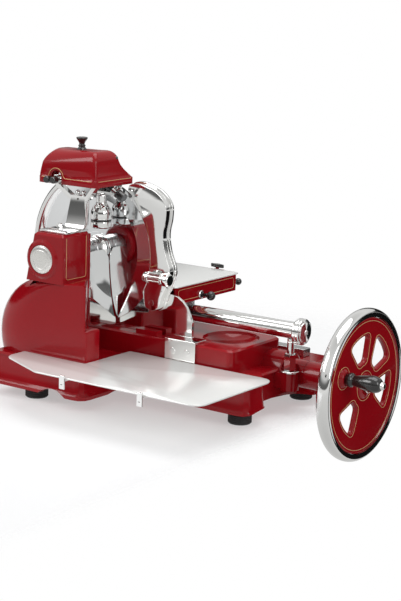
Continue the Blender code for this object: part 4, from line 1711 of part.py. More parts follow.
def build():
    build_base()
    build_feet()
    build_column()
    drive, low_group, upper_group, sprocket = build_train()
    blade, hub, spindle = build_blade()
    wheel_pieces, grip, crank_middle = build_flywheel()
    build_shaft_housing()
    build_rail()
    frame, roller, roller_middle = build_carriage()
    body, top, clamp, feed, pull, clamp_y, feed_start = build_table()
    gauge, thickness, knob_y = build_gauge()
    build_deflector()
    build_guard()
    tray = build_tray()
    build_sharpener()
    grind = stone_group("grind", GRIND_ROD_X, GRIND_TURN, -1)
    hone = stone_group("hone", HONE_ROD_X, HONE_TURN, 1)
    cover, cover_knob = build_cover()

    wheel_axis = axis_empty("flywheel_axis", (WHEEL_FACE_X, SHAFT_Y, SHAFT_Z))
    carry(wheel_axis, drive, *wheel_pieces)
    grip_axis = axis_empty("grip_axis", crank_middle)
    carry(grip_axis, grip)
    carry(wheel_axis, grip_axis)
    carry(axis_empty("low_shaft_axis", (DRIVE_X, SHAFT_Y, SHAFT_Z)), *low_group)
    carry(axis_empty("upper_shaft_axis", (DRIVE_X, SPUR_Y, UPPER_SHAFT_Z)), *upper_group)
    carry(axis_empty("blade_axis", (DRIVE_X, BLADE_Y, BLADE_Z)), blade, hub, spindle, sprocket)
    carriage_axis = axis_empty("carriage_axis", (roller_middle[0], RAIL_Y, RAIL_Z))
    table_axis = axis_empty("table_axis", (roller_middle[0], TABLE_FRONT, TABLE_TOP))
    roller_axis = axis_empty("roller_axis", roller_middle)
    clamp_axis = axis_empty("clamp_axis", (CLAMP_X, clamp_y, TABLE_TOP))
    feed_axis = axis_empty("feed_axis", (feed_start, FEED_KNOB_Y, FEED_KNOB_Z))
    pull_axis = axis_empty("pull_axis", (PULL_KNOB_X, CARRIAGE_REAR, PULL_KNOB_Z))
    carry(roller_axis, roller)
    carry(clamp_axis, clamp)
    carry(feed_axis, feed)
    carry(pull_axis, pull)
    carry(table_axis, body, top, clamp_axis, feed_axis)
    carry(carriage_axis, frame, roller_axis, pull_axis, table_axis)
    gauge_axis = axis_empty("gauge_axis", (KNOB_BOSS_END, GAUGE_BACK, KNOB_Z))
    knob_axis = axis_empty("thickness_axis", (KNOB_BOSS_END, knob_y, KNOB_Z))
    carry(knob_axis, thickness)
    carry(gauge_axis, gauge, knob_axis)
    carry(axis_empty("tray_axis", (TRAY_NOTCH_RIGHT, TRAY_FRONT, TRAY_TOP)), tray)
    for name, (push, stone, middle) in (("grind", grind), ("hone", hone)):
        stone_axis = axis_empty(name + "_stone_axis", middle)
        carry(stone_axis, stone)
        carry(axis_empty(name + "_rod_axis", (middle[0], ROD_KNOB_FRONT, ROD_Z)), push, stone_axis)
    carry(axis_empty("cover_axis", (COVER_KNOB_X, COVER_KNOB_Y, COVER_BOTTOM)), cover, cover_knob)


build()
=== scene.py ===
"""Looks of a hand crank flywheel meat slicer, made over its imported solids.

The drive column stands at the left, the flywheel hangs at the right, the blade faces the operator.
Everything is in metres, with the front left foot's sole at the origin, +Y away from the operator.
"""

import json
import logging
import math
from collections.abc import Iterable, Sequence
from dataclasses import dataclass
from enum import Enum

import bmesh
import bpy
from mathutils import Matrix, Vector

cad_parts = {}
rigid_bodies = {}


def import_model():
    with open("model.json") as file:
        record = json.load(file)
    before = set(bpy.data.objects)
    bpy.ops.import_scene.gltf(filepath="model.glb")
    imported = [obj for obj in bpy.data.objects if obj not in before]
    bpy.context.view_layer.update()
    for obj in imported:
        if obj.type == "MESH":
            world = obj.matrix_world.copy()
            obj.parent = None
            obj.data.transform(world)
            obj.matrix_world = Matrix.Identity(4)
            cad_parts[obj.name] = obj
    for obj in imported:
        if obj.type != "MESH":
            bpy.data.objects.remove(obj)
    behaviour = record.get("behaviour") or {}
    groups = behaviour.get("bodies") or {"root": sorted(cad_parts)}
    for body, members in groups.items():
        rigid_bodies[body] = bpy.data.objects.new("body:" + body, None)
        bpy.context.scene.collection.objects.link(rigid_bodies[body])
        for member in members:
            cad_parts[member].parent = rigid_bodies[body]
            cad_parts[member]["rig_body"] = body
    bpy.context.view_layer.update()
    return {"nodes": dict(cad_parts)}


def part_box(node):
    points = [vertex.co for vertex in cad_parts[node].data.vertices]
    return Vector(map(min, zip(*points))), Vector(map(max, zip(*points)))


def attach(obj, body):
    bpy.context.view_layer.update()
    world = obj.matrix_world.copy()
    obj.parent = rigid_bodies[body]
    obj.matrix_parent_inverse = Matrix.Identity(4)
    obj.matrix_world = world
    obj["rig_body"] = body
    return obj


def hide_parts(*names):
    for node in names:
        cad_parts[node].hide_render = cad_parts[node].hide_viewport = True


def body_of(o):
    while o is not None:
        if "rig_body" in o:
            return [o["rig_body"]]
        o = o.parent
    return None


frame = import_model()

Point = tuple[float, float, float]
Pair = tuple[float, float]
Places = Sequence[tuple[Point, Point]]

# Gap between pieces that seat on each other, so that no two faces lie in one plane.
SEAT = 0.0003
# Bores round the flywheel's shaft and round the crank pin.
SHAFT_BORE = 0.0083
PIN_BORE = 0.0053

logging.basicConfig(level=logging.INFO, format="%(message)s")
LOG = logging.getLogger("meat_slicer")


class Axis(Enum):
    """Direction in which a turned piece's profile runs."""

    RIGHT = (1.0, 0.0, 0.0)
    BACK = (0.0, 1.0, 0.0)
    FRONT = (0.0, -1.0, 0.0)
    UP = (0.0, 0.0, 1.0)

    def turn(self) -> Matrix:
        """Rotation that brings +Z to this direction."""
        return Vector((0.0, 0.0, 1.0)).rotation_difference(Vector(self.value)).to_matrix().to_4x4()


class Facing(Enum):
    """Plane in which a flat piece's outline is drawn."""

    FRONT = ((1, 0, 0, 0), (0, 0, -1, 0), (0, 1, 0, 0), (0, 0, 0, 1))
    RIGHT = ((0, 0, 1, 0), (1, 0, 0, 0), (0, 1, 0, 0), (0, 0, 0, 1))
    UP = ((1, 0, 0, 0), (0, 1, 0, 0), (0, 0, 1, 0), (0, 0, 0, 1))

    def turn(self) -> Matrix:
        """Matrix from the drawing plane to the object's frame."""
        return Matrix(self.value)


class Grain(Enum):
    """Small scale pattern that breaks up a finish."""

    LACQUER = "lacquer"
    POLISH = "polish"
    BRUSHED = "brushed"
    SPECKLE = "speckle"


# --------------------------------------------------------------------------- shader nodes


def valued(node: bpy.types.Node, **values: object) -> bpy.types.Node:
    """Sets a node's inputs, whose names are given with underscores for spaces."""
    for key, value in values.items():
        node.inputs[key.replace("_", " ")].default_value = value
    return node


def new_material(name: str, **values: object) -> tuple[bpy.types.Material, bpy.types.Node]:
    """A node material and its shader, with some of the shader's inputs set."""
    made = bpy.data.materials.new(name)
    made.use_nodes = True
    return made, valued(made.node_tree.nodes["Principled BSDF"], **values)


def mixed(tree: bpy.types.NodeTree, *sources: bpy.types.NodeSocket) -> bpy.types.NodeSocket:
    """A mix of two shaders: the first source is the share that the third has."""
    mix = tree.nodes.new("ShaderNodeMixShader")
    for source, target in zip(sources, mix.inputs):
        tree.links.new(source, target)
    return mix.outputs[0]


# --------------------------------------------------------------------------- finishes


@dataclass(frozen=True)
class Finish:
    """One finish: its colour and gloss, and the pattern that its nodes add.

    spread is how far the colour strays, relief the bump's height in metres, and pattern its scale.
    """

    name: str
    slot: str
    colour: Point
    roughness: float
    metallic: float = 0.0
    coat: float = 0.0
    specular: float = 0.5
    grain: Grain = Grain.POLISH
    pattern: float = 60.0
    spread: float = 0.06
    wander: float = 0.05
    relief: float = 0.00002
    stretch: Point = (1.0, 1.0, 1.0)

    def material(self) -> bpy.types.Material:
        """The finish as a node material, made when it is first asked for."""
        if self.name in bpy.data.materials:
            return bpy.data.materials[self.name]
        made, shader = new_material(
            self.name, Metallic=self.metallic, Specular_IOR_Level=self.specular, Coat_Weight=self.coat,
            Coat_Roughness=0.03,
        )
        nodes, links = made.node_tree.nodes, made.node_tree.links
        place = nodes.new("ShaderNodeTexCoord")
        scale = valued(nodes.new("ShaderNodeMapping"), Scale=self.stretch)
        links.new(place.outputs["Object"], scale.inputs["Vector"])
        broad = self._noise(nodes, links, scale, self.pattern * 0.25, 2.0)
        fine = self._noise(nodes, links, scale, self.pattern * 12.0, 5.0)
        shades = nodes.new("ShaderNodeValToRGB")
        for element, position, share in zip(shades.color_ramp.elements, (0.3, 0.7), (-1, 1)):
            element.position = position
            element.color = (*(min(1.0, c * (1 + share * self.spread)) for c in self.colour), 1.0)
        source = fine if self.grain is Grain.SPECKLE else broad
        links.new(source.outputs["Fac"], shades.inputs["Fac"])
        links.new(shades.outputs["Color"], shader.inputs["Base Color"])
        gloss = valued(
            nodes.new("ShaderNodeMapRange"), To_Min=max(0.0, self.roughness - self.wander),
            To_Max=self.roughness + self.wander,
        )
        links.new((broad if self.grain is Grain.LACQUER else fine).outputs["Fac"], gloss.inputs["Value"])
        links.new(gloss.outputs["Result"], shader.inputs["Roughness"])
        bump = valued(nodes.new("ShaderNodeBump"), Strength=0.35, Distance=self.relief)
        links.new(fine.outputs["Fac"], bump.inputs["Height"])
        links.new(bump.outputs["Normal"], shader.inputs["Normal"])
        return made

    @staticmethod
    def _noise(
        nodes: bpy.types.Nodes, links: bpy.types.NodeLinks, place: bpy.types.Node, scale: float, detail: float,
    ) -> bpy.types.Node:
        """Noise of one scale on the placed coordinates."""
        noise = valued(nodes.new("ShaderNodeTexNoise"), Scale=scale, Detail=detail)
        links.new(place.outputs["Vector"], noise.inputs["Vector"])
        return noise


RED_ENAMEL = Finish(
    "deep_red_enamel", "red_enamel", (0.31, 0.0035, 0.008), 0.13, specular=0.32, grain=Grain.LACQUER, pattern=26.0,
    spread=0.07, wander=0.03, relief=0.000012,
)
CHROME = Finish(
    "bright_chrome", "polished_chrome", (0.86, 0.86, 0.85), 0.06, 1.0, pattern=40.0, spread=0.02, wander=0.025,
    relief=0.000004,
)
BLADE_STEEL = Finish(
    "ground_blade_steel", "polished_chrome", (0.83, 0.84, 0.85), 0.07, 1.0, pattern=24.0, spread=0.02, wander=0.03,
    relief=0.000004, stretch=(1.0, 0.1, 1.0),
)
SATIN_NICKEL = Finish(
    "satin_nickel", "polished_chrome", (0.84, 0.83, 0.80), 0.28, 1.0, pattern=50.0, spread=0.04, wander=0.05,
)
STEEL = Finish(
    "turned_steel", "machined_steel", (0.58, 0.58, 0.58), 0.26, 1.0, grain=Grain.BRUSHED, pattern=44.0,
    spread=0.06, wander=0.08, relief=0.00001, stretch=(0.15, 1.0, 1.0),
)
DARK_STEEL = Finish(
    "oiled_steel", "machined_steel", (0.16, 0.15, 0.14), 0.34, 1.0, grain=Grain.BRUSHED, pattern=44.0, spread=0.1,
)
BAKELITE = Finish(
    "black_bakelite", "black_plastic", (0.012, 0.011, 0.011), 0.22, coat=0.6, pattern=70.0, spread=0.2, wander=0.06,
)
RUBBER = Finish(
    "black_rubber", "foot_rubber", (0.016, 0.016, 0.016), 0.72, grain=Grain.SPECKLE, pattern=60.0, spread=0.25,
    wander=0.1, relief=0.00006,
)
WHITE_ENAMEL = Finish(
    "white_enamel", "white_enamel", (0.84, 0.84, 0.82), 0.16, coat=0.8, grain=Grain.LACQUER, pattern=20.0,
    spread=0.02, wander=0.04, relief=0.000015,
)
GRINDSTONE = Finish(
    "grey_grindstone", "grindstone", (0.20, 0.19, 0.18), 0.92, grain=Grain.SPECKLE, pattern=130.0, spread=0.45,
    wander=0.05, relief=0.0002,
)
GOLD_LINE = Finish(
    "gold_line_paint", "red_enamel", (0.78, 0.50, 0.22), 0.34, 0.35, coat=0.5, pattern=90.0, spread=0.12, wander=0.08,
)


# --------------------------------------------------------------------------- meshes


def finished(
    piece: bpy.types.Object, finish: Finish, body: str, replaces: Sequence[str] = (), sharp: float = 32.0,
    flat: bool = False,
) -> bpy.types.Object:
    """Gives a piece its finish, shading and body.

    Args:
        piece: The mesh object, already in place.
        finish: What it is covered with.
        body: The body that it rides on.
        replaces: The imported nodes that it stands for.
        sharp: Edges over this angle, in degrees, stay hard.
        flat: Whether its large faces are shaded as flat between narrow bevels.

    Returns:
        The same object.
    """
    mesh = piece.data
    mesh.materials.clear()
    mesh.materials.append(finish.material())
    for face in mesh.polygons:
        face.material_index = 0
    mesh.shade_smooth()
    mesh.set_sharp_from_angle(angle=math.radians(sharp))
    if flat:
        even = piece.modifiers.new("even_normals", "WEIGHTED_NORMAL")
        even.keep_sharp = True
        baked(piece)
        mesh = piece.data
    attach(piece, body)
    if replaces:
        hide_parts(*replaces)
    LOG.info("%s: %d faces, %s, on %s", piece.name, len(mesh.polygons), finish.name, body)
    return piece


def in_scene(name: str, data: bpy.types.ID) -> bpy.types.Object:
    """A new object that shows a mesh or a curve, or holds a camera or a lamp."""
    piece = bpy.data.objects.new(name, data)
    bpy.context.scene.collection.objects.link(piece)
    return piece


def linked(name: str, shape: bmesh.types.BMesh, clean: bool = True) -> bpy.types.Object:
    """Turns a bmesh into a linked object, welded and with its faces pointing outwards where clean."""
    if clean:
        bmesh.ops.remove_doubles(shape, verts=shape.verts, dist=0.000002)
        bmesh.ops.recalc_face_normals(shape, faces=shape.faces)
    mesh = bpy.data.meshes.new(name)
    shape.to_mesh(mesh)
    shape.free()
    return in_scene(name, mesh)


def wired(name: str, points: Sequence[Point], edges: Sequence[tuple[int, int]] = ()) -> bpy.types.Object:
    """Loose points, or a path where edges are given."""
    mesh = bpy.data.meshes.new(name)
    mesh.from_pydata([tuple(point) for point in points], list(edges), [])
    return in_scene(name, mesh)


def evaluated(piece: bpy.types.Object) -> bpy.types.Mesh:
    """A new mesh of a piece, as its modifiers leave it."""
    graph = bpy.context.evaluated_depsgraph_get()
    return bpy.data.meshes.new_from_object(piece.evaluated_get(graph), depsgraph=graph)


def baked(piece: bpy.types.Object) -> bpy.types.Object:
    """Applies every modifier of a piece to its mesh."""
    mesh = evaluated(piece)
    mesh.name = piece.name
    piece.modifiers.clear()
    piece.data = mesh
    return piece


def broken(piece: bpy.types.Object, width: float, sharp: float, miter: str = "MITER_SHARP") -> bpy.types.Object:
    """Bevels the edges of a piece that are over an angle, given in degrees."""
    edge = piece.modifiers.new("broken_edges", "BEVEL")
    edge.width = width
    edge.segments = 2
    edge.limit_method = "ANGLE"
    edge.angle_limit = math.radians(sharp)
    edge.use_clamp_overlap = True
    edge.miter_outer = miter
    return baked(piece)


def sides(path: Sequence[Pair], i: int) -> tuple[Vector, Vector, Vector]:
    """A corner of a closed path, and the ways from it to the corners before and after."""
    here = Vector(path[i])
    return here, Vector(path[i - 1]) - here, Vector(path[(i + 1) % len(path)]) - here


def corner_curve(here: Vector, before: Vector, after: Vector, reach: float, steps: int) -> list[Pair]:
    """Points of a curve round a corner that takes a reach from each side."""
    start, end = here + before.normalized() * reach, here + after.normalized() * reach
    return [
        tuple(start * (1 - t) ** 2 + here * 2 * t * (1 - t) + end * t ** 2)
        for t in (k / steps for k in range(steps + 1))
    ]


def eased(path: Sequence[Pair], radius: float, closed: bool = False, steps: int = 4) -> list[Pair]:
    """Rounds the corners of a path.

    Args:
        path: The path's corners.
        radius: Most length that a corner takes from each side.
        closed: Whether the last corner joins the first.
        steps: Segments in each rounded corner.

    Returns:
        The new points, the ends kept where the path is open.
    """
    points: list[Pair] = []
    for i, corner in enumerate(path):
        here, before, after = sides(path, i)
        kept = not closed and i in (0, len(path) - 1)
        if kept or min(before.length, after.length) < 1e-7 or abs(before.angle(after) - math.pi) < 0.12:
            points.append(corner)
            continue
        reach = min(radius, before.length * 0.45, after.length * 0.45)
        points += corner_curve(here, before, after, reach, steps)
    return points


def turned(
    name: str, profile: Sequence[Pair], middle: Point, axis: Axis, steps: int = 96, ring: bool = False,
    easing: float = 0.0008,
) -> bpy.types.Object:
    """Turns a profile round an axis.

    Args:
        name: The piece's name.
        profile: Pairs of radius and distance along the axis.
        middle: Where the axis starts.
        axis: The way it runs.
        steps: Segments round the axis.
        ring: Whether the profile is closed, for a piece with a bore.
        easing: How much the profile's corners are rounded.

    Returns:
        The turned object.
    """
    shape = bmesh.new()
    place = Matrix.Translation(middle) @ axis.turn()
    points = eased(profile, easing, ring) if easing else list(profile)
    rows: list[list[bmesh.types.BMVert]] = []
    for radius, along in points:
        turns = [0.0] if radius < 1e-6 else [math.tau * k / steps for k in range(steps)]
        rows.append([
            shape.verts.new(place @ Vector((radius * math.cos(t), radius * math.sin(t), along))) for t in turns
        ])
    for low, high in [*zip(rows, rows[1:]), *([(rows[-1], rows[0])] if ring else [])]:
        for k in range(steps):
            corners = list(dict.fromkeys((
                low[k % len(low)], low[(k + 1) % len(low)], high[(k + 1) % len(high)], high[k % len(high)],
            )))
            if len(corners) > 2:
                shape.faces.new(corners)
    return linked(name, shape)


def drawn(
    name: str, outlines: Iterable[Sequence[Pair]], thickness: float, middle: Point, facing: Facing,
    rounding: float = 0.0007,
) -> bpy.types.Object:
    """Cuts a flat piece out of sheet, with rounded edges.

    Args:
        name: The piece's name.
        outlines: The outer outline, then any holes.
        thickness: The sheet's thickness.
        middle: Middle of the sheet, in the object's frame.
        facing: The plane of the outlines.
        rounding: Radius of the sheet's edges.

    Returns:
        The sheet as a mesh object.
    """
    curve = bpy.data.curves.new(name, "CURVE")
    curve.dimensions = "2D"
    curve.fill_mode = "BOTH"
    curve.extrude = thickness / 2 - rounding
    curve.bevel_depth = rounding
    curve.bevel_resolution = 2
    curve.offset = -rounding
    for outline in outlines:
        spline = curve.splines.new("POLY")
        spline.points.add(len(outline) - 1)
        for point, (x, y) in zip(spline.points, outline):
            point.co = (x, y, 0.0, 1.0)
        spline.use_cyclic_u = True
    source = in_scene(name + "_outline", curve)
    mesh = evaluated(source)
    bpy.data.objects.remove(source, do_unlink=True)
    mesh.transform(Matrix.Translation(middle) @ facing.turn())
    shape = bmesh.new()
    shape.from_mesh(mesh)
    bpy.data.meshes.remove(mesh)
    return linked(name, shape)


def lofted(name: str, rings: Sequence[Sequence[Point]]) -> bpy.types.Object:
    """Skins rings of equal count, with closed ends."""
    shape = bmesh.new()
    rows = [[shape.verts.new(point) for point in ring] for ring in rings]
    count = len(rows[0])
    for low, high in zip(rows, rows[1:]):
        for k in range(count):
            shape.faces.new((low[k], low[(k + 1) % count], high[(k + 1) % count], high[k]))
    shape.faces.new(rows[0])
    shape.faces.new(rows[-1])
    return linked(name, shape)


def block(name: str, low: Point, high: Point, rounding: float = 0.001) -> bpy.types.Object:
    """A block between two corners, with rounded edges."""
    shape = bmesh.new()
    size = Vector(high) - Vector(low)
    place = Matrix.Translation((Vector(low) + Vector(high)) / 2) @ Matrix.Diagonal((*size, 1.0))
    bmesh.ops.create_cube(shape, size=1.0, matrix=place)
    bmesh.ops.bevel(shape, geom=shape.edges[:], offset=rounding, segments=3, affect="EDGES", profile=0.5)
    return linked(name, shape)


def joined(name: str, *pieces: bpy.types.Object) -> bpy.types.Object:
    """One object from several closed shells."""
    shape = bmesh.new()
    for piece in pieces:
        shape.from_mesh(piece.data)
        bpy.data.objects.remove(piece, do_unlink=True)
    return linked(name, shape, clean=False)


def carved(piece: bpy.types.Object, *tools: bpy.types.Object) -> bpy.types.Object:
    """Cuts closed tools out of a closed piece, and removes the tools."""
    for tool in tools:
        cut = piece.modifiers.new(tool.name, "BOOLEAN")
        cut.operation = "DIFFERENCE"
        cut.solver = "EXACT"
        cut.object = tool
    baked(piece)
    for tool in tools:
        bpy.data.objects.remove(tool, do_unlink=True)
    return piece


def fettled(
    node: str, name: str, finish: Finish, rounding: float = 0.0008, sharp: float = 32.0,
) -> bpy.types.Object:
    """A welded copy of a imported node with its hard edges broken, which stands for the node.

    Args:
        node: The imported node.
        name: The new piece's name.
        finish: What it is covered with.
        rounding: Width of the broken edges, or 0 to leave them.
        sharp: Edges over this angle count as hard.

    Returns:
        The piece, on the node's own body.
    """
    shape = bmesh.new()
    shape.from_mesh(frame["nodes"][node].data)
    bmesh.ops.remove_doubles(shape, verts=shape.verts, dist=0.000004)
    bmesh.ops.dissolve_degenerate(shape, dist=0.000004, edges=shape.edges)
    bmesh.ops.dissolve_limit(shape, angle_limit=math.radians(0.4), verts=shape.verts, edges=shape.edges)
    piece = linked(name, shape)
    if rounding:
        broken(piece, rounding, sharp, "MITER_ARC")
    return finished(piece, finish, body_of(frame["nodes"][node])[0], (node,), sharp, True)


def circle(
    radius: float, steps: int = 96, middle: Pair = (0.0, 0.0), start: float = 0.0, end: float = 360.0,
) -> list[Pair]:
    """Points round a circle, or along an arc with its end where end isn't start plus 360."""
    whole = abs(abs(end - start) - 360.0) < 1e-6
    return [
        (middle[0] + radius * math.cos(math.radians(t)), middle[1] + radius * math.sin(math.radians(t)))
        for t in [start + (end - start) * i / (steps if whole else steps - 1) for i in range(steps)]
    ]


def ball_profile(stem: float, length: float, radius: float) -> list[Pair]:
    """Profile of a ball on a stem, with a small collar where they meet."""
    turns = [math.radians(t) for t in range(8, 156, 7)]
    collar = stem * 1.25
    return [
        (0.0, length + 2 * radius), *((radius * math.sin(t), length + radius * (1 + math.cos(t))) for t in turns),
        (collar, length), (collar, length - 0.0012), (stem, length - 0.0016), (stem, 0.0), (0.0, 0.0),
    ]


def smooth(points: Sequence[Pair], steps: int) -> list[Pair]:
    """A smooth path through the given points, ends included."""
    padded = [points[0], *points, points[-1]]
    path: list[Pair] = []
    for four in zip(padded, padded[1:], padded[2:], padded[3:]):
        a, b, c, d = (Vector(point) for point in four)
        path += [
            tuple(0.5 * (
                2 * b + (c - a) * t + (2 * a - 5 * b + 4 * c - d) * t ** 2 + (3 * b - a - 3 * c + d) * t ** 3
            ))
            for t in (k / steps for k in range(steps))
        ]
    return [*path, tuple(points[-1])]


def normals(path: Sequence[Pair]) -> list[Pair]:
    """Unit normals to the left of a path's direction."""
    found: list[Pair] = []
    for before, after in zip([path[0], *path], [*path[1:], path[-1]]):
        along = (Vector(after) - Vector(before)).normalized()
        found.append((-along.y, along.x))
    return found


# --------------------------------------------------------------------------- node trees


class ShapeTree:
    """A Geometry Nodes tree under construction, with named inputs for its sizes."""

    def __init__(self, name: str) -> None:
        """Starts a tree with one geometry input and one geometry output."""
        self.tree = bpy.data.node_groups.new(name, "GeometryNodeTree")
        self.tree.is_modifier = True
        self.tree.interface.new_socket("Geometry", in_out="INPUT", socket_type="NodeSocketGeometry")
        self.tree.interface.new_socket("Geometry", in_out="OUTPUT", socket_type="NodeSocketGeometry")
        self.start = self.tree.nodes.new("NodeGroupInput")
        self.end = self.tree.nodes.new("NodeGroupOutput")

    def ask(self, name: str, kind: str, default: float | int | None = None) -> None:
        """Adds a named input."""
        socket = self.tree.interface.new_socket(name, in_out="INPUT", socket_type=kind)
        if default is not None:
            socket.default_value = default

    def node(self, kind: str, **settings: object) -> bpy.types.Node:
        """Adds a node and sets its properties, or its inputs where the name is one."""
        made = self.tree.nodes.new(kind)
        for key, value in settings.items():
            label = key.replace("_", " ")
            if hasattr(made, key):
                setattr(made, key, value)
            else:
                self.feed(value, made.inputs[label])
        return made

    def feed(self, value: object, socket: bpy.types.NodeSocket) -> None:
        """Links a socket's source to it, or sets its value."""
        if isinstance(value, bpy.types.NodeSocket):
            self.tree.links.new(value, socket)
        else:
            socket.default_value = value

    def close(self, source: bpy.types.NodeSocket) -> bpy.types.NodeTree:
        """Ends the tree: the geometry is made real and takes the finish that the modifier gives."""
        real = self.node("GeometryNodeRealizeInstances", Geometry=source)
        dressed = self.node(
            "GeometryNodeSetMaterial", Geometry=real.outputs[0], Material=self.start.outputs["Finish"],
        )
        self.feed(dressed.outputs[0], self.end.inputs["Geometry"])
        return self.tree

    def facing(self) -> bpy.types.NodeSocket:
        """The direction that each point faces."""
        return self.node("GeometryNodeInputNamedAttribute", data_type="FLOAT_VECTOR", Name="facing").outputs[0]

    def instances(
        self, points: bpy.types.NodeSocket, instance: bpy.types.NodeSocket, axis: str, along: bpy.types.NodeSocket,
    ) -> bpy.types.NodeTree:
        """Ends the tree with an instance on each point, one of its axes turned along a direction."""
        turn = self.node("FunctionNodeAlignRotationToVector", axis=axis, Vector=along)
        placed = self.node("GeometryNodeInstanceOnPoints", Points=points, Instance=instance, Rotation=turn.outputs[0])
        return self.close(placed.outputs[0])


def run_tree(
    piece: bpy.types.Object, tree: bpy.types.NodeTree, sizes: dict[str, object],
) -> bpy.types.Object:
    """Runs a tree over a piece, and keeps what it makes as the piece's plain mesh.

    Args:
        piece: The object whose geometry the tree reads.
        tree: The Geometry Nodes tree.
        sizes: Values for the tree's named inputs.

    Returns:
        The same object, with no modifier left.
    """
    modifier = piece.modifiers.new(tree.name, "NODES")
    modifier.node_group = tree
    for item in tree.interface.items_tree:
        if item.item_type == "SOCKET" and item.in_out == "INPUT" and item.name in sizes:
            modifier[item.identifier] = sizes[item.name]
    return baked(piece)


def painted_line_tree() -> bpy.types.NodeTree:
    """Tree that sweeps a fine round line along a path of edges."""
    tree = ShapeTree("painted_line")
    tree.ask("Line Radius", "NodeSocketFloat", 0.0004)
    tree.ask("Finish", "NodeSocketMaterial")
    path = tree.node("GeometryNodeMeshToCurve", Mesh=tree.start.outputs["Geometry"])
    section = tree.node(
        "GeometryNodeCurvePrimitiveCircle", Resolution=6, Radius=tree.start.outputs["Line Radius"],
    )
    swept = tree.node("GeometryNodeCurveToMesh", Curve=path.outputs[0])
    tree.feed(section.outputs[0], swept.inputs["Profile Curve"])
    tree.feed(True, swept.inputs["Fill Caps"])
    return tree.close(swept.outputs[0])


def screw_tree() -> bpy.types.NodeTree:
    """Tree that sets a domed, slotted screw head at each point, along its facing attribute."""
    tree = ShapeTree("slotted_screws")
    tree.ask("Head Radius", "NodeSocketFloat", 0.003)
    tree.ask("Head Height", "NodeSocketFloat", 0.0015)
    tree.ask("Slot Width", "NodeSocketFloat", 0.0008)
    tree.ask("Finish", "NodeSocketMaterial")
    radius, height = tree.start.outputs["Head Radius"], tree.start.outputs["Head Height"]
    size = tree.node("ShaderNodeCombineXYZ", X=radius, Y=radius, Z=height)
    dome = tree.node("GeometryNodeMeshUVSphere", Segments=24, Rings=12, Radius=1.0)
    flat = tree.node("GeometryNodeTransform", Geometry=dome.outputs[0], Scale=size.outputs[0])
    long = tree.node("ShaderNodeMath", operation="MULTIPLY")
    tree.feed(radius, long.inputs[0])
    tree.feed(3.0, long.inputs[1])
    slot_size = tree.node("ShaderNodeCombineXYZ", X=long.outputs[0], Y=tree.start.outputs["Slot Width"], Z=height)
    slot = tree.node("GeometryNodeMeshCube", Size=slot_size.outputs[0])
    lift = tree.node("ShaderNodeCombineXYZ", Z=height)
    raised = tree.node("GeometryNodeTransform", Geometry=slot.outputs[0], Translation=lift.outputs[0])
    head = tree.node("GeometryNodeMeshBoolean", operation="DIFFERENCE")
    tree.feed(flat.outputs[0], head.inputs["Mesh 1"])
    tree.feed(raised.outputs[0], head.inputs["Mesh 2"])
    return tree.instances(tree.start.outputs["Geometry"], head.outputs[0], "Z", tree.facing())


def stud_tree() -> bpy.types.NodeTree:
    """Tree that sets a short round bar at each point, along its facing attribute."""
    tree = ShapeTree("short_bars")
    tree.ask("Bar Radius", "NodeSocketFloat", 0.001)
    tree.ask("Bar Length", "NodeSocketFloat", 0.01)
    tree.ask("Bar Sides", "NodeSocketInt", 8)
    tree.ask("Finish", "NodeSocketMaterial")
    sizes = tree.start.outputs
    bar = tree.node(
        "GeometryNodeMeshCylinder", Vertices=sizes["Bar Sides"], Radius=sizes["Bar Radius"], Depth=sizes["Bar Length"],
    )
    return tree.instances(sizes["Geometry"], bar.outputs[0], "Z", tree.facing())


def chain_tree() -> bpy.types.NodeTree:
    """Tree that hangs roller chain links along a closed path, one for each pitch."""
    tree = ShapeTree("roller_chain")
    tree.ask("Links", "NodeSocketInt", 40)
    tree.ask("Link", "NodeSocketObject")
    tree.ask("Finish", "NodeSocketMaterial")
    path = tree.node("GeometryNodeMeshToCurve", Mesh=tree.start.outputs["Geometry"])
    spaced = tree.node(
        "GeometryNodeCurveToPoints", mode="COUNT", Curve=path.outputs[0], Count=tree.start.outputs["Links"],
    )
    link = tree.node("GeometryNodeObjectInfo", Object=tree.start.outputs["Link"])
    return tree.instances(spaced.outputs["Points"], link.outputs["Geometry"], "X", spaced.outputs["Tangent"])


TREES: dict[str, bpy.types.NodeTree] = {}


def tree_of(name: str) -> bpy.types.NodeTree:
    """One of the four trees, made when it is first asked for."""
    makers = {"line": painted_line_tree, "screws": screw_tree, "bars": stud_tree, "chain": chain_tree}
    if name not in TREES:
        TREES[name] = makers[name]()
    return TREES[name]


def gold_line(
    name: str, path: Sequence[Point], closed: bool, body: str, radius: float = 0.0005,
) -> bpy.types.Object:
    """A painted gold line along a path that lies just under the enamel's surface."""
    edges = [(i, i + 1) for i in range(len(path) - 1)] + ([(len(path) - 1, 0)] if closed else [])
    piece = wired(name, path, edges)
    run_tree(piece, tree_of("line"), {"Line Radius": radius, "Finish": GOLD_LINE.material()})
    return finished(piece, GOLD_LINE, body, sharp=80.0)


def facing_points(name: str, places: Places) -> bpy.types.Object:
    """Loose points, each with the direction that it faces."""
    piece = wired(name, [place for place, _ in places])
    facing = piece.data.attributes.new("facing", "FLOAT_VECTOR", "POINT")
    for slot, (_, direction) in zip(facing.data, places):
        slot.vector = direction
    return piece


def screws(
    name: str, places: Places, radius: float, height: float, finish: Finish, body: str,
) -> bpy.types.Object:
    """Slotted screw heads at some places, each with its direction."""
    piece = facing_points(name, places)
    run_tree(piece, tree_of("screws"), {
        "Head Radius": radius, "Head Height": height, "Slot Width": radius * 0.28, "Finish": finish.material(),
    })
    return finished(piece, finish, body)


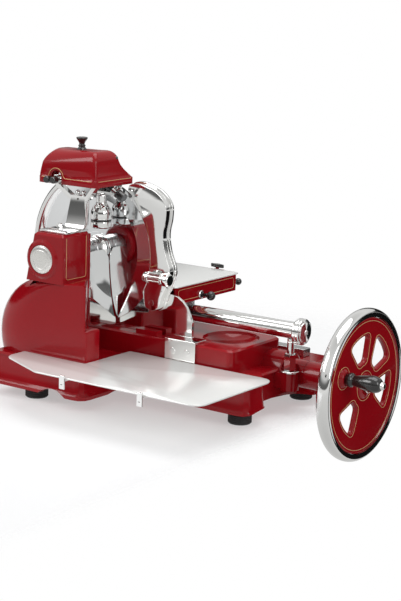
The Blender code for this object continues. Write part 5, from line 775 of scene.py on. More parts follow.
def bars(
    name: str, places: Places, radius: float, length: float, sides: int, finish: Finish, body: str,
) -> bpy.types.Object:
    """Short bars at some places, such as the ridges of a knob."""
    piece = facing_points(name, places)
    run_tree(piece, tree_of("bars"), {
        "Bar Radius": radius, "Bar Length": length, "Bar Sides": sides, "Finish": finish.material(),
    })
    return finished(piece, finish, body)


# --------------------------------------------------------------------------- sub-assemblies


@dataclass
class Base:
    """The enamelled base casting, its feet, the flywheel shaft's housing and the rear track."""

    foot_radius: float = 0.021
    foot_height: float = 0.020
    foot_places: tuple[Pair, ...] = ((0.0, 0.0), (0.377, 0.102), (0.370, 0.316), (0.0, 0.316))
    foot_nodes: tuple[str, ...] = ("foot_front_left", "foot_front_right", "foot_rear_right", "foot_rear_left")
    shaft_y: float = 0.238
    shaft_z: float = 0.069
    housing_start: float = 0.4323
    housing_end: float = 0.517
    housing_radius: float = 0.025
    housing_bore: float = 0.019
    flange_radius: float = 0.029
    flange: float = 0.004
    bush_depth: float = 0.016

    def build(self) -> None:
        """Makes the casting and all that is fixed under it and at its right end."""
        fettled("base_casting", "base_casting_enamelled", RED_ENAMEL, 0.0016, 30.0)
        self.feet()
        self.housing()
        fettled("rear_track", "rear_track_ground", STEEL, 0.0006)

    def feet(self) -> None:
        """Rubber feet with a waist, a lip and three fine grooves."""
        for node, (x, y) in zip(self.foot_nodes, self.foot_places):
            r, h = self.foot_radius, self.foot_height
            profile: list[Pair] = [(0.0, h), (r - 0.002, h), (r - 0.002, h - 0.0035), (r, h - 0.0042)]
            for i in range(3):
                z = h - 0.0065 - i * 0.0036
                profile += [(r, z), (r - 0.0007, z - 0.0004), (r - 0.0007, z - 0.0009), (r, z - 0.0013)]
            profile += [(r, 0.0022), (r - 0.0022, 0.0), (0.0, 0.0)]
            foot = turned(node + "_moulded", profile, (x, y, 0.0), Axis.UP, 64, easing=0.0003)
            finished(foot, RUBBER, "frame", (node,), 40.0)

    def housing(self) -> None:
        """The turned sleeve that carries the flywheel's shaft, and its bright bush."""
        axis = (0.0, self.shaft_y, self.shaft_z)
        outer, bore, end = self.housing_radius, self.housing_bore, self.housing_end
        sleeve = turned("shaft_housing_enamelled", [
            (outer, self.housing_start), (outer, end - 0.008), (outer - 0.0012, end - 0.006), (outer, end - 0.004),
            (outer, end), (bore, end), (bore, self.housing_start),
        ], axis, Axis.RIGHT, 80, ring=True)
        finished(sleeve, RED_ENAMEL, "frame", ("shaft_housing",))
        face, inner = end + SEAT, end - self.bush_depth
        bush = turned("shaft_bush_turned", [
            (self.flange_radius, face + self.flange), (self.flange_radius, face), (bore - SEAT, face),
            (bore - SEAT, inner), (SHAFT_BORE, inner), (SHAFT_BORE, face + self.flange),
        ], axis, Axis.RIGHT, 80, ring=True)
        finished(bush, CHROME, "frame", ("shaft_bush",))


@dataclass
class Column:
    """The drive column with its badge, top plate and the gears and chain inside."""

    shaft_x: float = 0.030
    blade_z: float = 0.260
    upper_z: float = 0.140
    box_front: float = -0.023
    box_right: float = 0.077
    box_rear: float = 0.050
    box_low: float = 0.226
    box_top: float = 0.307
    badge_radius: float = 0.026
    plate_low: Point = (0.013, -0.012, 0.3073)
    plate_high: Point = (0.074, 0.050, 0.3113)
    bolt: Pair = (0.0235, 0.0300)
    plate_screws: tuple[Pair, ...] = ((0.018, 0.044), (0.068, -0.006))
    chain_lift: float = 0.0028
    link_radius: float = 0.0024
    link_plate: float = 0.0008
    link_reach: float = 0.0022
    link_roller: Pair = (0.0020, 0.0018)
    chain_y: float = 0.008
    chain_pitch: float = 0.0127
    wheel_teeth: int = 24
    sprocket_teeth: int = 8

    def build(self) -> None:
        """Makes the column's castings, then the parts fixed on them and in them."""
        fettled("gear_column", "gear_column_enamelled", RED_ENAMEL, 0.0016, 34.0)
        fettled("column_rear_cover", "column_rear_cover_enamelled", RED_ENAMEL, 0.0010)
        self.badge()
        self.top()
        self.lines()
        self.train()

    def badge(self) -> None:
        """A plain domed badge with two fine rings, bare of any sign."""
        r = self.badge_radius
        profile = [
            (0.0, 0.0056), (r * 0.62, 0.0052), (r * 0.64, 0.0046), (r * 0.67, 0.0050), (r * 0.86, 0.0042),
            (r * 0.89, 0.0034), (r * 0.95, 0.0036), (r, 0.0022), (r, 0.0), (0.0, 0.0),
        ]
        middle = (self.shaft_x, self.box_front - 0.0006, self.blade_z)
        badge = turned("badge_cap_domed", profile, middle, Axis.FRONT, 96, easing=0.0004)
        finished(badge, SATIN_NICKEL, "frame", ("badge_cap",), 50.0)

    def top(self) -> None:
        """The bright plate on the column, its hexagon bolt and two small screws."""
        plate = block("column_top_plate_plated", self.plate_low, self.plate_high, 0.0010)
        finished(plate, CHROME, "frame", ("column_top_plate",))
        z = self.plate_high[2]
        place = (*self.bolt, z)
        washer = turned("top_bolt_washer", [
            (0.0, 0.0012), (0.0072, 0.0012), (0.0072, -0.0004), (0.0, -0.0004),
        ], place, Axis.UP, 48, easing=0.0003)
        head = turned("top_bolt_head", [
            (0.0, 0.0068), (0.0044, 0.0068), (0.0052, 0.0058), (0.0052, 0.0010), (0.0, 0.0010),
        ], place, Axis.UP, 6, easing=0.0)
        finished(washer, CHROME, "frame")
        finished(head, CHROME, "frame", sharp=20.0)
        places = [((x, y, z), (0, 0, 1)) for x, y in self.plate_screws]
        screws("top_plate_screws", places, 0.0024, 0.0011, CHROME, "frame")

    def lines(self) -> None:
        """Gold lining round the column's right face."""
        x = self.box_right - 0.0001
        front, rear = self.box_front + 0.010, self.box_rear - 0.009
        border = eased([
            (front, self.box_top - 0.006), (front, self.box_low + 0.001), (rear, self.box_low + 0.001),
            (rear, self.box_top - 0.006),
        ], 0.006, False, 6)
        gold_line("column_side_line", [(x, y, z) for y, z in border], False, "frame")

    def train(self) -> None:
        """Gears, shafts and the roller chain."""
        for node in (
            "chain_wheel", "spindle_sprocket", "upper_pinion_shaft", "low_shaft", "low_spur_gear", "drive_mitre_gear",
            "driven_mitre_gear",
        ):
            fettled(node, node + "_cut", STEEL, 0.0, 25.0)
        wheel = self.chain_pitch * self.wheel_teeth / math.tau
        sprocket = self.chain_pitch * self.sprocket_teeth / math.tau
        lean = math.degrees(math.asin((wheel - sprocket) / (self.blade_z - self.upper_z)))
        loop = [
            *circle(sprocket + self.chain_lift, 12, (self.shaft_x, self.blade_z), lean, 180 - lean),
            *circle(wheel + self.chain_lift, 40, (self.shaft_x, self.upper_z), 180 - lean, 360 + lean),
        ]
        length = sum((Vector(a) - Vector(b)).length for a, b in zip(loop, loop[1:] + loop[:1]))
        edges = [(i, (i + 1) % len(loop)) for i in range(len(loop))]
        path = wired("drive_chain_links", [(x, self.chain_y, z) for x, z in loop], edges)
        link = self.link()
        run_tree(path, tree_of("chain"), {
            "Links": round(length / self.chain_pitch), "Link": link, "Finish": DARK_STEEL.material(),
        })
        bpy.data.objects.remove(link, do_unlink=True)
        finished(path, DARK_STEEL, "frame", ("drive_chain",))

    def link(self) -> bpy.types.Object:
        """One chain link at the origin, its pins along Y: two plates with round ends and a roller."""
        half, end = self.chain_pitch / 2, self.link_radius
        outline = circle(end, 7, (half, 0.0), -90.0, 90.0) + circle(end, 7, (-half, 0.0), 90.0, 270.0)
        plates = [
            drawn(f"link_plate_{side}", [outline], self.link_plate, (0.0, y, 0.0), Facing.FRONT, 0.0001)
            for side, y in ((-1, -self.link_reach), (1, self.link_reach))
        ]
        r, w = self.link_roller
        profile = [(0.0, -w), (r, -w), (r, w), (0.0, w)]
        roller = turned("link_roller", profile, (half, 0.0, 0.0), Axis.BACK, 10, easing=0.0)
        return joined("chain_link", *plates, roller)


@dataclass
class BladeSet:
    """The round blade, its hub ring, spindle and spindle housing, and the guard round its left."""

    x: float = 0.030
    y: float = 0.130
    z: float = 0.260
    radius: float = 0.1325
    half: float = 0.0015
    bevel_share: float = 0.73
    bore: float = 0.0105
    hub_radius: float = 0.027
    hub_thickness: float = 0.009
    hub_bore: float = 0.0103
    housing_radius: float = 0.022
    housing_start: float = 0.0503
    guard_inner: float = 0.1365
    guard_outer: float = 0.148
    guard_width: float = 0.018
    guard_arc: Pair = (130.0, 235.0)
    guard_levels: int = 64
    arm_turn: float = 225.0
    arm_radius: float = 0.0062
    arm_start: float = 0.0549

    def build(self) -> None:
        """Makes the blade and what turns with it, then its housing and guard."""
        bevel, hub, sunk = self.radius * self.bevel_share, self.hub_radius, 0.0003 - self.half
        blade = turned("blade_ground", [
            (self.radius, self.half), (self.radius, self.half - 0.0005), (bevel, -self.half * 0.86),
            (bevel - 0.0015, -self.half), (hub + 0.006, -self.half), (hub + 0.005, sunk), (self.bore, sunk),
            (self.bore, self.half),
        ], (self.x, self.y, self.z), Axis.BACK, 160, ring=True, easing=0.0002)
        finished(blade, BLADE_STEEL, "blade_group", ("blade",), 8.0)
        back = self.y - self.half - SEAT
        ring = turned("blade_hub_turned", [
            (hub, 0.0), (hub, -0.0035), (hub * 0.93, -0.0058), (hub * 0.90, -self.hub_thickness),
            (self.hub_bore, -self.hub_thickness), (self.hub_bore, 0.0),
        ], (self.x, back, self.z), Axis.BACK, 96, ring=True, easing=0.0006)
        finished(ring, CHROME, "blade_group", ("blade_hub",))
        fettled("blade_spindle", "blade_spindle_ground", STEEL, 0.0, 30.0)
        face, r, start = back - self.hub_thickness, self.housing_radius, self.housing_start
        housing = turned("spindle_housing_turned", [
            (r - 0.0022, face - SEAT), (r, face - 0.0027), (r, face - 0.012), (r - 0.0008, face - 0.013),
            (r - 0.0008, face - 0.020), (r, face - 0.021), (r, start), (self.hub_bore, start),
            (self.hub_bore, face - SEAT),
        ], (self.x, 0.0, self.z), Axis.BACK, 96, ring=True, easing=0.0004)
        finished(housing, STEEL, "frame", ("spindle_housing",))
        self.guard()

    def guard(self) -> None:
        """The bright band round the blade's left side, with a rolled edge."""
        inner, outer, half = self.guard_inner, self.guard_outer, self.guard_width / 2
        section = eased([
            (inner, -half), (outer - 0.003, -half), (outer, -half + 0.004), (outer, half - 0.004),
            (outer - 0.003, half), (inner, half),
        ], 0.0016, True, 3)
        start, end = self.guard_arc
        rings = []
        for k in range(self.guard_levels):
            t = math.radians(start + (end - start) * k / (self.guard_levels - 1))
            rings.append([(self.x + r * math.cos(t), self.y + w, self.z + r * math.sin(t)) for r, w in section])
        band = lofted("guard_band", rings)
        t, middle = math.radians(self.arm_turn), (inner + outer) / 2
        r, low, high = self.arm_radius, self.arm_start, self.y - 0.008
        arm = turned(
            "guard_arm", [(0.0, low), (r, low), (r, high), (0.0, high)],
            (self.x + middle * math.cos(t), 0.0, self.z + middle * math.sin(t)), Axis.BACK, 48,
        )
        finished(joined("blade_guard_plated", band, arm), CHROME, "frame", ("blade_guard",))


@dataclass
class Flywheel:
    """The wheel with its four openings and polished rim, the crank pin and the turning grip."""

    face: float = 0.548
    y: float = 0.238
    z: float = 0.069
    radius: float = 0.136
    rim_inner: float = 0.121
    width: float = 0.024
    disc: float = 0.010
    hub_radius: float = 0.024
    petal_inner: float = 0.042
    petal_outer: float = 0.090
    petal_turns: tuple[float, ...] = (105.0, 45.0, -15.0, 225.0)
    petal_spread: Pair = (15.0, 21.0)
    petal_corner: float = 0.009
    line_ring: float = 0.1145
    line_gap: float = 0.0045
    line_margin: float = 0.0025
    line_radius: float = 0.00055
    crank_turn: float = 160.0
    crank_radius: float = 0.080
    boss_radius: float = 0.017
    boss_height: float = 0.006
    grip_length: float = 0.066

    def petal(self, turn: float, grow: float = 0.0) -> list[Pair]:
        """Outline of one opening: a ring sector with round corners, made larger by grow."""
        inner, outer = self.petal_inner - grow, self.petal_outer + grow
        low, high = self.petal_spread
        low, high = low + math.degrees(grow / inner), high + math.degrees(grow / outer)
        corners = [
            *circle(inner, 4, (0.0, 0.0), turn - low, turn + low),
            *circle(outer, 7, (0.0, 0.0), turn + high, turn - high),
        ]
        return self.soft(corners, self.petal_corner + grow)

    @staticmethod
    def soft(corners: Sequence[Pair], radius: float) -> list[Pair]:
        """Round corners where the outline turns sharply, and the arcs kept."""
        points: list[Pair] = []
        ends = [Vector(corners[i]) for i in (0, 3, 4, -1)]
        for i, corner in enumerate(corners):
            here, before, after = sides(corners, i)
            if before.angle(after) <= math.radians(140):
                points += corner_curve(here, before, after, radius, 5)
            elif all((here - end).length > radius for end in ends):
                points.append(corner)
        return points

    def build(self) -> None:
        """Makes the wheel, then the crank and its grip."""
        axis = (0.0, self.y, self.z)
        front = self.face - 0.003
        web = drawn(
            "wheel_web", [circle(self.rim_inner - SEAT, 128), *[self.petal(t) for t in self.petal_turns]], self.disc,
            (front - self.disc / 2, self.y, self.z), Facing.RIGHT, 0.0022,
        )
        back = self.face - 0.025
        hub = turned("wheel_hub", [
            (SHAFT_BORE, self.face), (self.hub_radius * 0.62, self.face), (self.hub_radius * 0.9, self.face - 0.0018),
            (self.hub_radius, front - 0.001), (self.hub_radius, back), (SHAFT_BORE, back),
        ], axis, Axis.RIGHT, 80, ring=True, easing=0.0012)
        t = math.radians(self.crank_turn)
        crank = (self.y + self.crank_radius * math.cos(t), self.z + self.crank_radius * math.sin(t))
        boss = turned("crank_boss", [
            (PIN_BORE, self.boss_height), (self.boss_radius * 0.76, self.boss_height), (self.boss_radius, 0.0),
            (self.boss_radius, -self.disc), (PIN_BORE, -self.disc),
        ], (front, *crank), Axis.RIGHT, 64, ring=True, easing=0.0014)
        finished(joined("flywheel_disc_enamelled", web, hub, boss), RED_ENAMEL, "flywheel", ("flywheel_disc",))
        self.rim(axis)
        self.lines(front, crank)
        self.crank(front, crank)
        shaft = turned("main_shaft_ground", [
            (0.0, 0.0415), (0.008, 0.0415), (0.008, self.face + 0.003), (0.0, self.face + 0.003),
        ], axis, Axis.RIGHT, 48)
        finished(shaft, STEEL, "flywheel", ("main_shaft",))
        nut = turned("flywheel_nut_plated", [
            (0.0, 0.011), (0.0052, 0.0108), (0.0092, 0.0088), (0.0108, 0.0058), (0.0108, 0.003), (0.012, 0.0022),
            (0.012, 0.0), (0.0, 0.0),
        ], (self.face + 0.0033, self.y, self.z), Axis.RIGHT, 64, easing=0.0008)
        finished(nut, CHROME, "flywheel", ("flywheel_nut",))

    def rim(self, axis: Point) -> None:
        """The polished rim, a half round section that stands proud of the disc."""
        middle, half = (self.radius + self.rim_inner) / 2, (self.radius - self.rim_inner) / 2
        section = [(self.rim_inner, self.face - 0.0015)]
        section += [
            (middle + half * math.cos(t), self.face - self.width / 2 + self.width / 2 * math.sin(t))
            for t in [math.radians(108 - 216 * i / 22) for i in range(23)]
        ]
        section += [(self.rim_inner, self.face - self.width + 0.0015)]
        rim = turned("flywheel_rim_polished", section, axis, Axis.RIGHT, 192, ring=True, easing=0.0)
        finished(rim, CHROME, "flywheel", ("flywheel_rim",), 60.0)

    def lines(self, front: float, crank: Pair) -> None:
        """Gold lines: one round the disc, one round each opening, the boss and the hub."""
        x, hub = front - 0.00015, (self.y, self.z)
        places = [
            ("ring", hub, circle(self.line_ring, 160)),
            *((f"opening_{i}", hub, self.petal(t, self.line_gap)) for i, t in enumerate(self.petal_turns)),
            ("boss", crank, circle(self.boss_radius + self.line_margin, 64)),
            ("hub", hub, circle(self.hub_radius + self.line_margin, 80)),
        ]
        for name, (y, z), outline in places:
            gold_line("wheel_line_" + name, [(x, y + a, z + b) for a, b in outline], True, "flywheel", self.line_radius)

    def crank(self, front: float, crank: Pair) -> None:
        """The crank pin with its end nut, and the grip that turns on it."""
        start = front + self.boss_height + SEAT
        nut = start + self.grip_length + SEAT
        pin = turned("crank_pin_plated", [
            (0.0, self.face - 0.010), (0.005, self.face - 0.010), (0.005, nut), (0.007, nut), (0.007, nut + 0.003),
            (0.0042, nut + 0.006), (0.0, nut + 0.006),
        ], (0.0, *crank), Axis.RIGHT, 48, easing=0.0006)
        finished(pin, CHROME, "flywheel", ("crank_pin",))
        n = self.grip_length
        grip = turned("crank_grip_turned", [
            (0.0062, n), (0.0095, n * 0.985), (0.0125, n * 0.93), (0.0145, n * 0.82), (0.0143, n * 0.68),
            (0.0124, n * 0.5), (0.0106, n * 0.36), (0.0094, n * 0.25), (0.0092, n * 0.205), (0.0118, n * 0.175),
            (0.0125, n * 0.14), (0.0125, n * 0.09), (0.0112, n * 0.05), (0.0095, n * 0.03), (0.0092, 0.0),
            (PIN_BORE, 0.0), (PIN_BORE, n),
        ], (start, *crank), Axis.RIGHT, 80, ring=True, easing=0.002)
        finished(grip, BAKELITE, "grip", ("crank_grip",), 40.0)


@dataclass
class FrontRail:
    """The polished tube that the carriage runs on, its end collar and its post."""

    y: float = 0.205
    z: float = 0.153
    radius: float = 0.015
    left: float = -0.052
    right: float = 0.4237
    post_x: float = 0.411
    stem_foot: float = 0.105
    nut_heights: Pair = (0.0802, 0.1104)
    washer_heights: Pair = (0.0773, 0.0803)

    def build(self) -> None:
        """Makes the tube, the collar with its cap and screw, and the post."""
        axis = (0.0, self.y, self.z)
        tube = turned("rail_tube_polished", [
            (0.0, self.left), (self.radius, self.left), (self.radius, self.right), (0.0, self.right),
        ], axis, Axis.RIGHT, 96)
        finished(tube, CHROME, "frame", ("rail_tube",))
        s = self.right + SEAT
        collar = turned("rail_collar_turned", [
            (0.0, s + 0.0190), (0.0040, s + 0.0190), (0.0046, s + 0.0172), (0.0175, s + 0.0172),
            (0.019, s + 0.0166), (0.019, s + 0.0150), (0.0218, s + 0.0150), (0.0235, s + 0.0128),
            (0.0235, s + 0.0088), (0.0229, s + 0.0082), (0.0229, s + 0.0070), (0.0235, s + 0.0064),
            (0.0235, s + 0.0022), (0.0218, s), (0.0, s),
        ], axis, Axis.RIGHT, 96, easing=0.0005)
        finished(collar, CHROME, "frame", ("rail_collar",))
        cap = [((s + 0.0186, self.y, self.z), Axis.RIGHT.value)]
        screws("rail_cap_screw", cap, 0.0046, 0.0016, CHROME, "frame")
        place = (self.post_x, self.y, 0.0)
        top, foot = self.z - self.radius - SEAT, self.stem_foot
        stem = turned("post_stem", [
            (0.0, top), (0.0063, top), (0.0063, top - 0.004), (0.0057, top - 0.005), (0.0063, top - 0.006),
            (0.0063, foot), (0.0, foot),
        ], place, Axis.UP, 48, easing=0.0004)
        low, high = self.nut_heights
        nut = turned("post_nut", [
            (0.0, high), (0.0098, high), (0.0115, high - 0.001), (0.0115, low + 0.001), (0.0098, low), (0.0, low),
        ], place, Axis.UP, 6, easing=0.0)
        low, high = self.washer_heights
        washer = turned("post_washer", [
            (0.0, high), (0.0172, high), (0.018, high - 0.0008), (0.018, low), (0.0, low),
        ], place, Axis.UP, 64, easing=0.0003)
        finished(joined("rail_post_plated", stem, nut, washer), CHROME, "frame", ("rail_post",), 25.0)


@dataclass
class Carriage:
    """The carriage on the rail with its roller, and the meat table that slides on it."""

    roller: Point = (0.10025, 0.314, 0.1073)
    roller_radius: float = 0.012
    table_left: float = 0.0
    table_right: float = 0.2005
    table_front: float = 0.146
    table_rear: float = 0.340
    table_top: float = 0.2068
    overhang: float = 0.0042
    plate: float = 0.003
    line_z: Pair = (0.1815, 0.2015)
    line_inset: float = 0.008
    wing_neck: float = 0.0052
    wing_reach: float = 0.0098
    feed: Point = (0.2008, 0.223, 0.185)
    pull: Point = (0.1885, 0.336, 0.187)
    clamp: Point = (0.147, 0.354, 0.2106)

    def build(self) -> None:
        """Makes the carriage, then the table and its knobs."""
        fettled("carriage_frame", "carriage_frame_milled", STEEL, 0.0007)
        roller = turned("rear_roller_turned", [
            (0.0033, -0.007), (0.0105, -0.007), (self.roller_radius, -0.0055), (self.roller_radius, 0.0055),
            (0.0105, 0.007), (0.0033, 0.007),
        ], self.roller, Axis.BACK, 64, ring=True, easing=0.0004)
        finished(roller, STEEL, "carriage_roller", ("rear_roller",))
        fettled("table_body", "table_body_enamelled", RED_ENAMEL, 0.0009)
        self.top()
        self.knobs()

    def top(self) -> None:
        """The white plate that the meat lies on, with a low rolled edge."""
        low_x, high_x = self.table_left - self.overhang, self.table_right + self.overhang
        low_y, high_y = self.table_front - self.overhang, self.table_rear + self.overhang
        outline = eased([(low_x, low_y), (high_x, low_y), (high_x, high_y), (low_x, high_y)], 0.007, True, 8)
        middle_z = self.table_top + SEAT + self.plate / 2
        plate = drawn("meat_plate_enamelled", [outline], self.plate, (0.0, 0.0, middle_z), Facing.UP, 0.0012)
        finished(plate, WHITE_ENAMEL, "meat_table", ("meat_plate",))
        low_z, high_z = self.line_z
        front, rear = self.table_front + self.line_inset, self.table_rear - self.line_inset
        line = eased([(front, low_z), (rear, low_z), (rear, high_z), (front, high_z)], 0.006, True, 6)
        path = [(self.table_right - 0.0001, y, z) for y, z in line]
        gold_line("table_side_line", path, True, "meat_table", 0.00045)

    def knobs(self) -> None:
        """The ball knobs of the table and the carriage, and the clamp's wing."""
        feed = turned("feed_knob_turned", ball_profile(0.003, 0.015, 0.0085), self.feed, Axis.RIGHT, 64, easing=0.0)
        finished(feed, BAKELITE, "table_knob", ("feed_knob",), 50.0)
        collar = turned("feed_collar", [
            (0.0034, 0.0), (0.0075, 0.0), (0.0075, 0.0022), (0.0062, 0.0034), (0.0034, 0.0034),
        ], self.feed, Axis.RIGHT, 48, ring=True, easing=0.0003)
        finished(collar, CHROME, "meat_table")
        pull = turned("pull_knob_turned", ball_profile(0.0028, 0.023, 0.0068), self.pull, Axis.BACK, 64, easing=0.0)
        finished(pull, BAKELITE, "carriage_pull", ("pull_knob",), 50.0)
        x, y, z = self.clamp
        outline = []
        for k in range(48):
            along, across = math.cos(math.tau * k / 48), math.sin(math.tau * k / 48)
            reach = self.wing_neck + self.wing_reach * abs(along) ** 3
            outline.append((reach * along, (reach if abs(along) < 0.6 else self.wing_neck) * across))
        wing = drawn("clamp_knob_moulded", [outline], 0.007, (x, y, z + 0.0038), Facing.UP, 0.0018)
        finished(wing, BAKELITE, "table_clamp", ("clamp_knob",), 50.0)


@dataclass
class Gauge:
    """The gauge plate beside the blade, its support, and the thickness knob."""

    centre: Pair = (0.030, 0.260)
    arc_radius: float = 0.136
    back: float = 0.133
    thickness: float = 0.017
    right: float = 0.200
    top: float = 0.392
    bottom: float = 0.167
    bead: float = 0.003
    knob: Point = (0.209, 0.0995, 0.230)
    knob_radius: float = 0.0105
    knob_length: float = 0.038
    knob_ridges: int = 30
    guide: Pair = (0.171, 0.181)
    edge_screw: Pair = (0.1925, 0.205)
    shares: tuple[Pair, ...] = (
        (0.02, 0.98), (0.30, 1.0), (0.72, 0.95), (0.96, 0.86), (0.98, 0.75), (0.92, 0.62), (0.98, 0.48),
        (1.12, 0.335), (1.04, 0.22), (0.92, 0.12), (0.84, 0.03), (0.68, 0.0), (0.50, 0.03),
    )

    def outline(self) -> tuple[list[Pair], list[Pair]]:
        """The arc beside the blade, and the curved right edge, top to bottom."""
        arc = circle(self.arc_radius, 48, self.centre, 52.0, -27.0)
        (high_x, high_z), (low_x, low_z) = arc[0], arc[-1]
        width, height = self.right - high_x, self.top - self.bottom
        path = [
            (high_x, high_z), *((high_x + width * a, self.bottom + height * u) for a, u in self.shares),
            (low_x, low_z),
        ]
        return arc, smooth(path, 8)[1:-1]

    def build(self) -> None:
        """Makes the plate with its bead, then the support and the knob."""
        arc, edge = self.outline()
        front = self.back - self.thickness - 0.004
        thickness = self.thickness + 0.002
        plate = drawn(
            "gauge_face", [edge[::-1] + arc], thickness, (0.0, front + thickness / 2, 0.0), Facing.FRONT, 0.0010,
        )
        wide = [(x + self.bead * nx, z + self.bead * nz) for (x, z), (nx, nz) in zip(edge, normals(edge))]
        bead = drawn(
            "gauge_bead", [wide[::-1] + arc], 0.006, (0.0, self.back - 0.003, 0.0), Facing.FRONT, 0.0014,
        )
        x, y, z = self.knob
        boss = turned("knob_boss", [
            (0.0, 0.012), (0.0095, 0.012), (0.012, 0.0095), (0.012, 0.0), (0.0, 0.0),
        ], self.knob, Axis.RIGHT, 64, easing=0.0008)
        web = block("knob_web", (x + 0.0006, y, z - 0.0052), (x + 0.008, front + 0.004, z + 0.0052), 0.001)
        pin = turned("knob_pin", [
            (0.0, -0.019), (0.004, -0.019), (0.004, 0.008), (0.0, 0.008),
        ], self.knob, Axis.RIGHT, 32)
        low, high = front - 0.01, self.back + 0.01
        guide_x, guide_z = self.guide
        for sheet in (plate, bead):
            carved(sheet, turned("gauge_bore", [
                (0.0, low), (0.0058, low), (0.0058, high), (0.0, high),
            ], (guide_x, 0.0, guide_z), Axis.BACK, 40, easing=0.0))
        finished(joined("gauge_plate_plated", plate, bead, boss, web, pin), CHROME, "gauge", ("gauge_plate",))
        fettled("gauge_support", "gauge_support_plated", CHROME, 0.0008)
        guide = [((guide_x, front - 0.0002, guide_z), Axis.FRONT.value)]
        screws("guide_pin_screw", guide, 0.0050, 0.0018, CHROME, "frame")
        edge_x, edge_z = self.edge_screw
        screws("gauge_edge_screws", [((edge_x, front, edge_z), Axis.FRONT.value)], 0.0030, 0.0012, CHROME, "gauge")
        self.turning_knob()

    def turning_knob(self) -> None:
        """The thickness knob: a ridged barrel between smooth ends, with a dark end disc."""
        x, y, z = self.knob
        end = x - SEAT
        r, n = self.knob_radius, self.knob_length
        barrel = turned("thickness_barrel", [
            (0.0, -0.022), (0.0043, -0.022), (0.0043, 0.0), (r * 0.86, 0.0), (r * 0.97, -0.0025),
            (r * 0.97, -0.0050), (r * 0.90, -0.0060), (r * 0.90, -n + 0.006), (r * 0.97, -n + 0.005),
            (r * 0.97, -n + 0.002), (r * 0.86, -n), (r * 0.86, -n - 0.0045), (r * 0.76, -n - 0.006), (0.0, -n - 0.006),
        ], (end, y, z), Axis.RIGHT, 72, easing=0.0006)
        finished(barrel, CHROME, "thickness_control", ("thickness_knob",))
        turns = [math.tau * k / self.knob_ridges for k in range(self.knob_ridges)]
        places = [
            ((end - n / 2, y + r * 0.90 * math.cos(t), z + r * 0.90 * math.sin(t)), Axis.RIGHT.value) for t in turns
        ]
        bars("thickness_ridges", places, 0.0008, n - 0.0125, 6, CHROME, "thickness_control")
        disc = turned("thickness_end", [
            (0.0, -0.0004), (r * 0.62, -0.0004), (r * 0.66, 0.0002), (r * 0.66, 0.001), (0.0, 0.001),
        ], (end - n - 0.006, y, z), Axis.RIGHT, 48, easing=0.0)
        finished(disc, BAKELITE, "thickness_control")


@dataclass
class Tray:
    """The white tray for the cut slices, on its two hooks, and the bright deflector over it."""

    top: float = 0.0885
    thickness: float = 0.003
    back: float = 0.1012
    right: float = 0.446
    front: float = -0.122
    left: float = -0.006
    corner: float = 0.026
    notch_front: float = -0.0275
    notch_right: float = 0.134
    hooks: tuple[float, ...] = (0.167, 0.332)

    def build(self) -> None:
        """Makes the tray's sheet, its two hooks and the deflector."""
        sharp = [
            ((self.left, self.notch_front), self.corner / 6), ((self.left, -0.076), self.corner),
            ((0.104, self.front - 0.004), self.corner), ((self.right, self.front), self.corner),
            ((self.right, self.back), self.corner), ((self.notch_right, self.back), self.corner / 6),
            ((self.notch_right, self.notch_front), self.corner / 6),
        ]
        outline: list[Pair] = []
        places = [place for place, _ in sharp]
        for i, (_, radius) in enumerate(sharp):
            here, before, after = sides(places, i)
            reach = min(radius / math.tan(before.angle(after) / 2), before.length * 0.45, after.length * 0.45)
            outline += corner_curve(here, before, after, reach, 10)
        middle = (0.0, 0.0, self.top - self.thickness / 2)
        sheet = drawn("receiving_tray_enamelled", [outline], self.thickness, middle, Facing.UP, 0.0012)
        finished(sheet, WHITE_ENAMEL, "tray", ("receiving_tray",))
        for side, x in zip(("left", "right"), self.hooks):
            fettled(f"tray_hook_{side}", f"tray_hook_{side}_plated", CHROME, 0.0006)
            place = [((x, self.front - 0.0071, self.top - 0.012), Axis.FRONT.value)]
            screws(f"tray_hook_screw_{side}", place, 0.0026, 0.0011, DARK_STEEL, "frame")
        fettled("deflector", "deflector_plated", CHROME, 0.0005, 28.0)


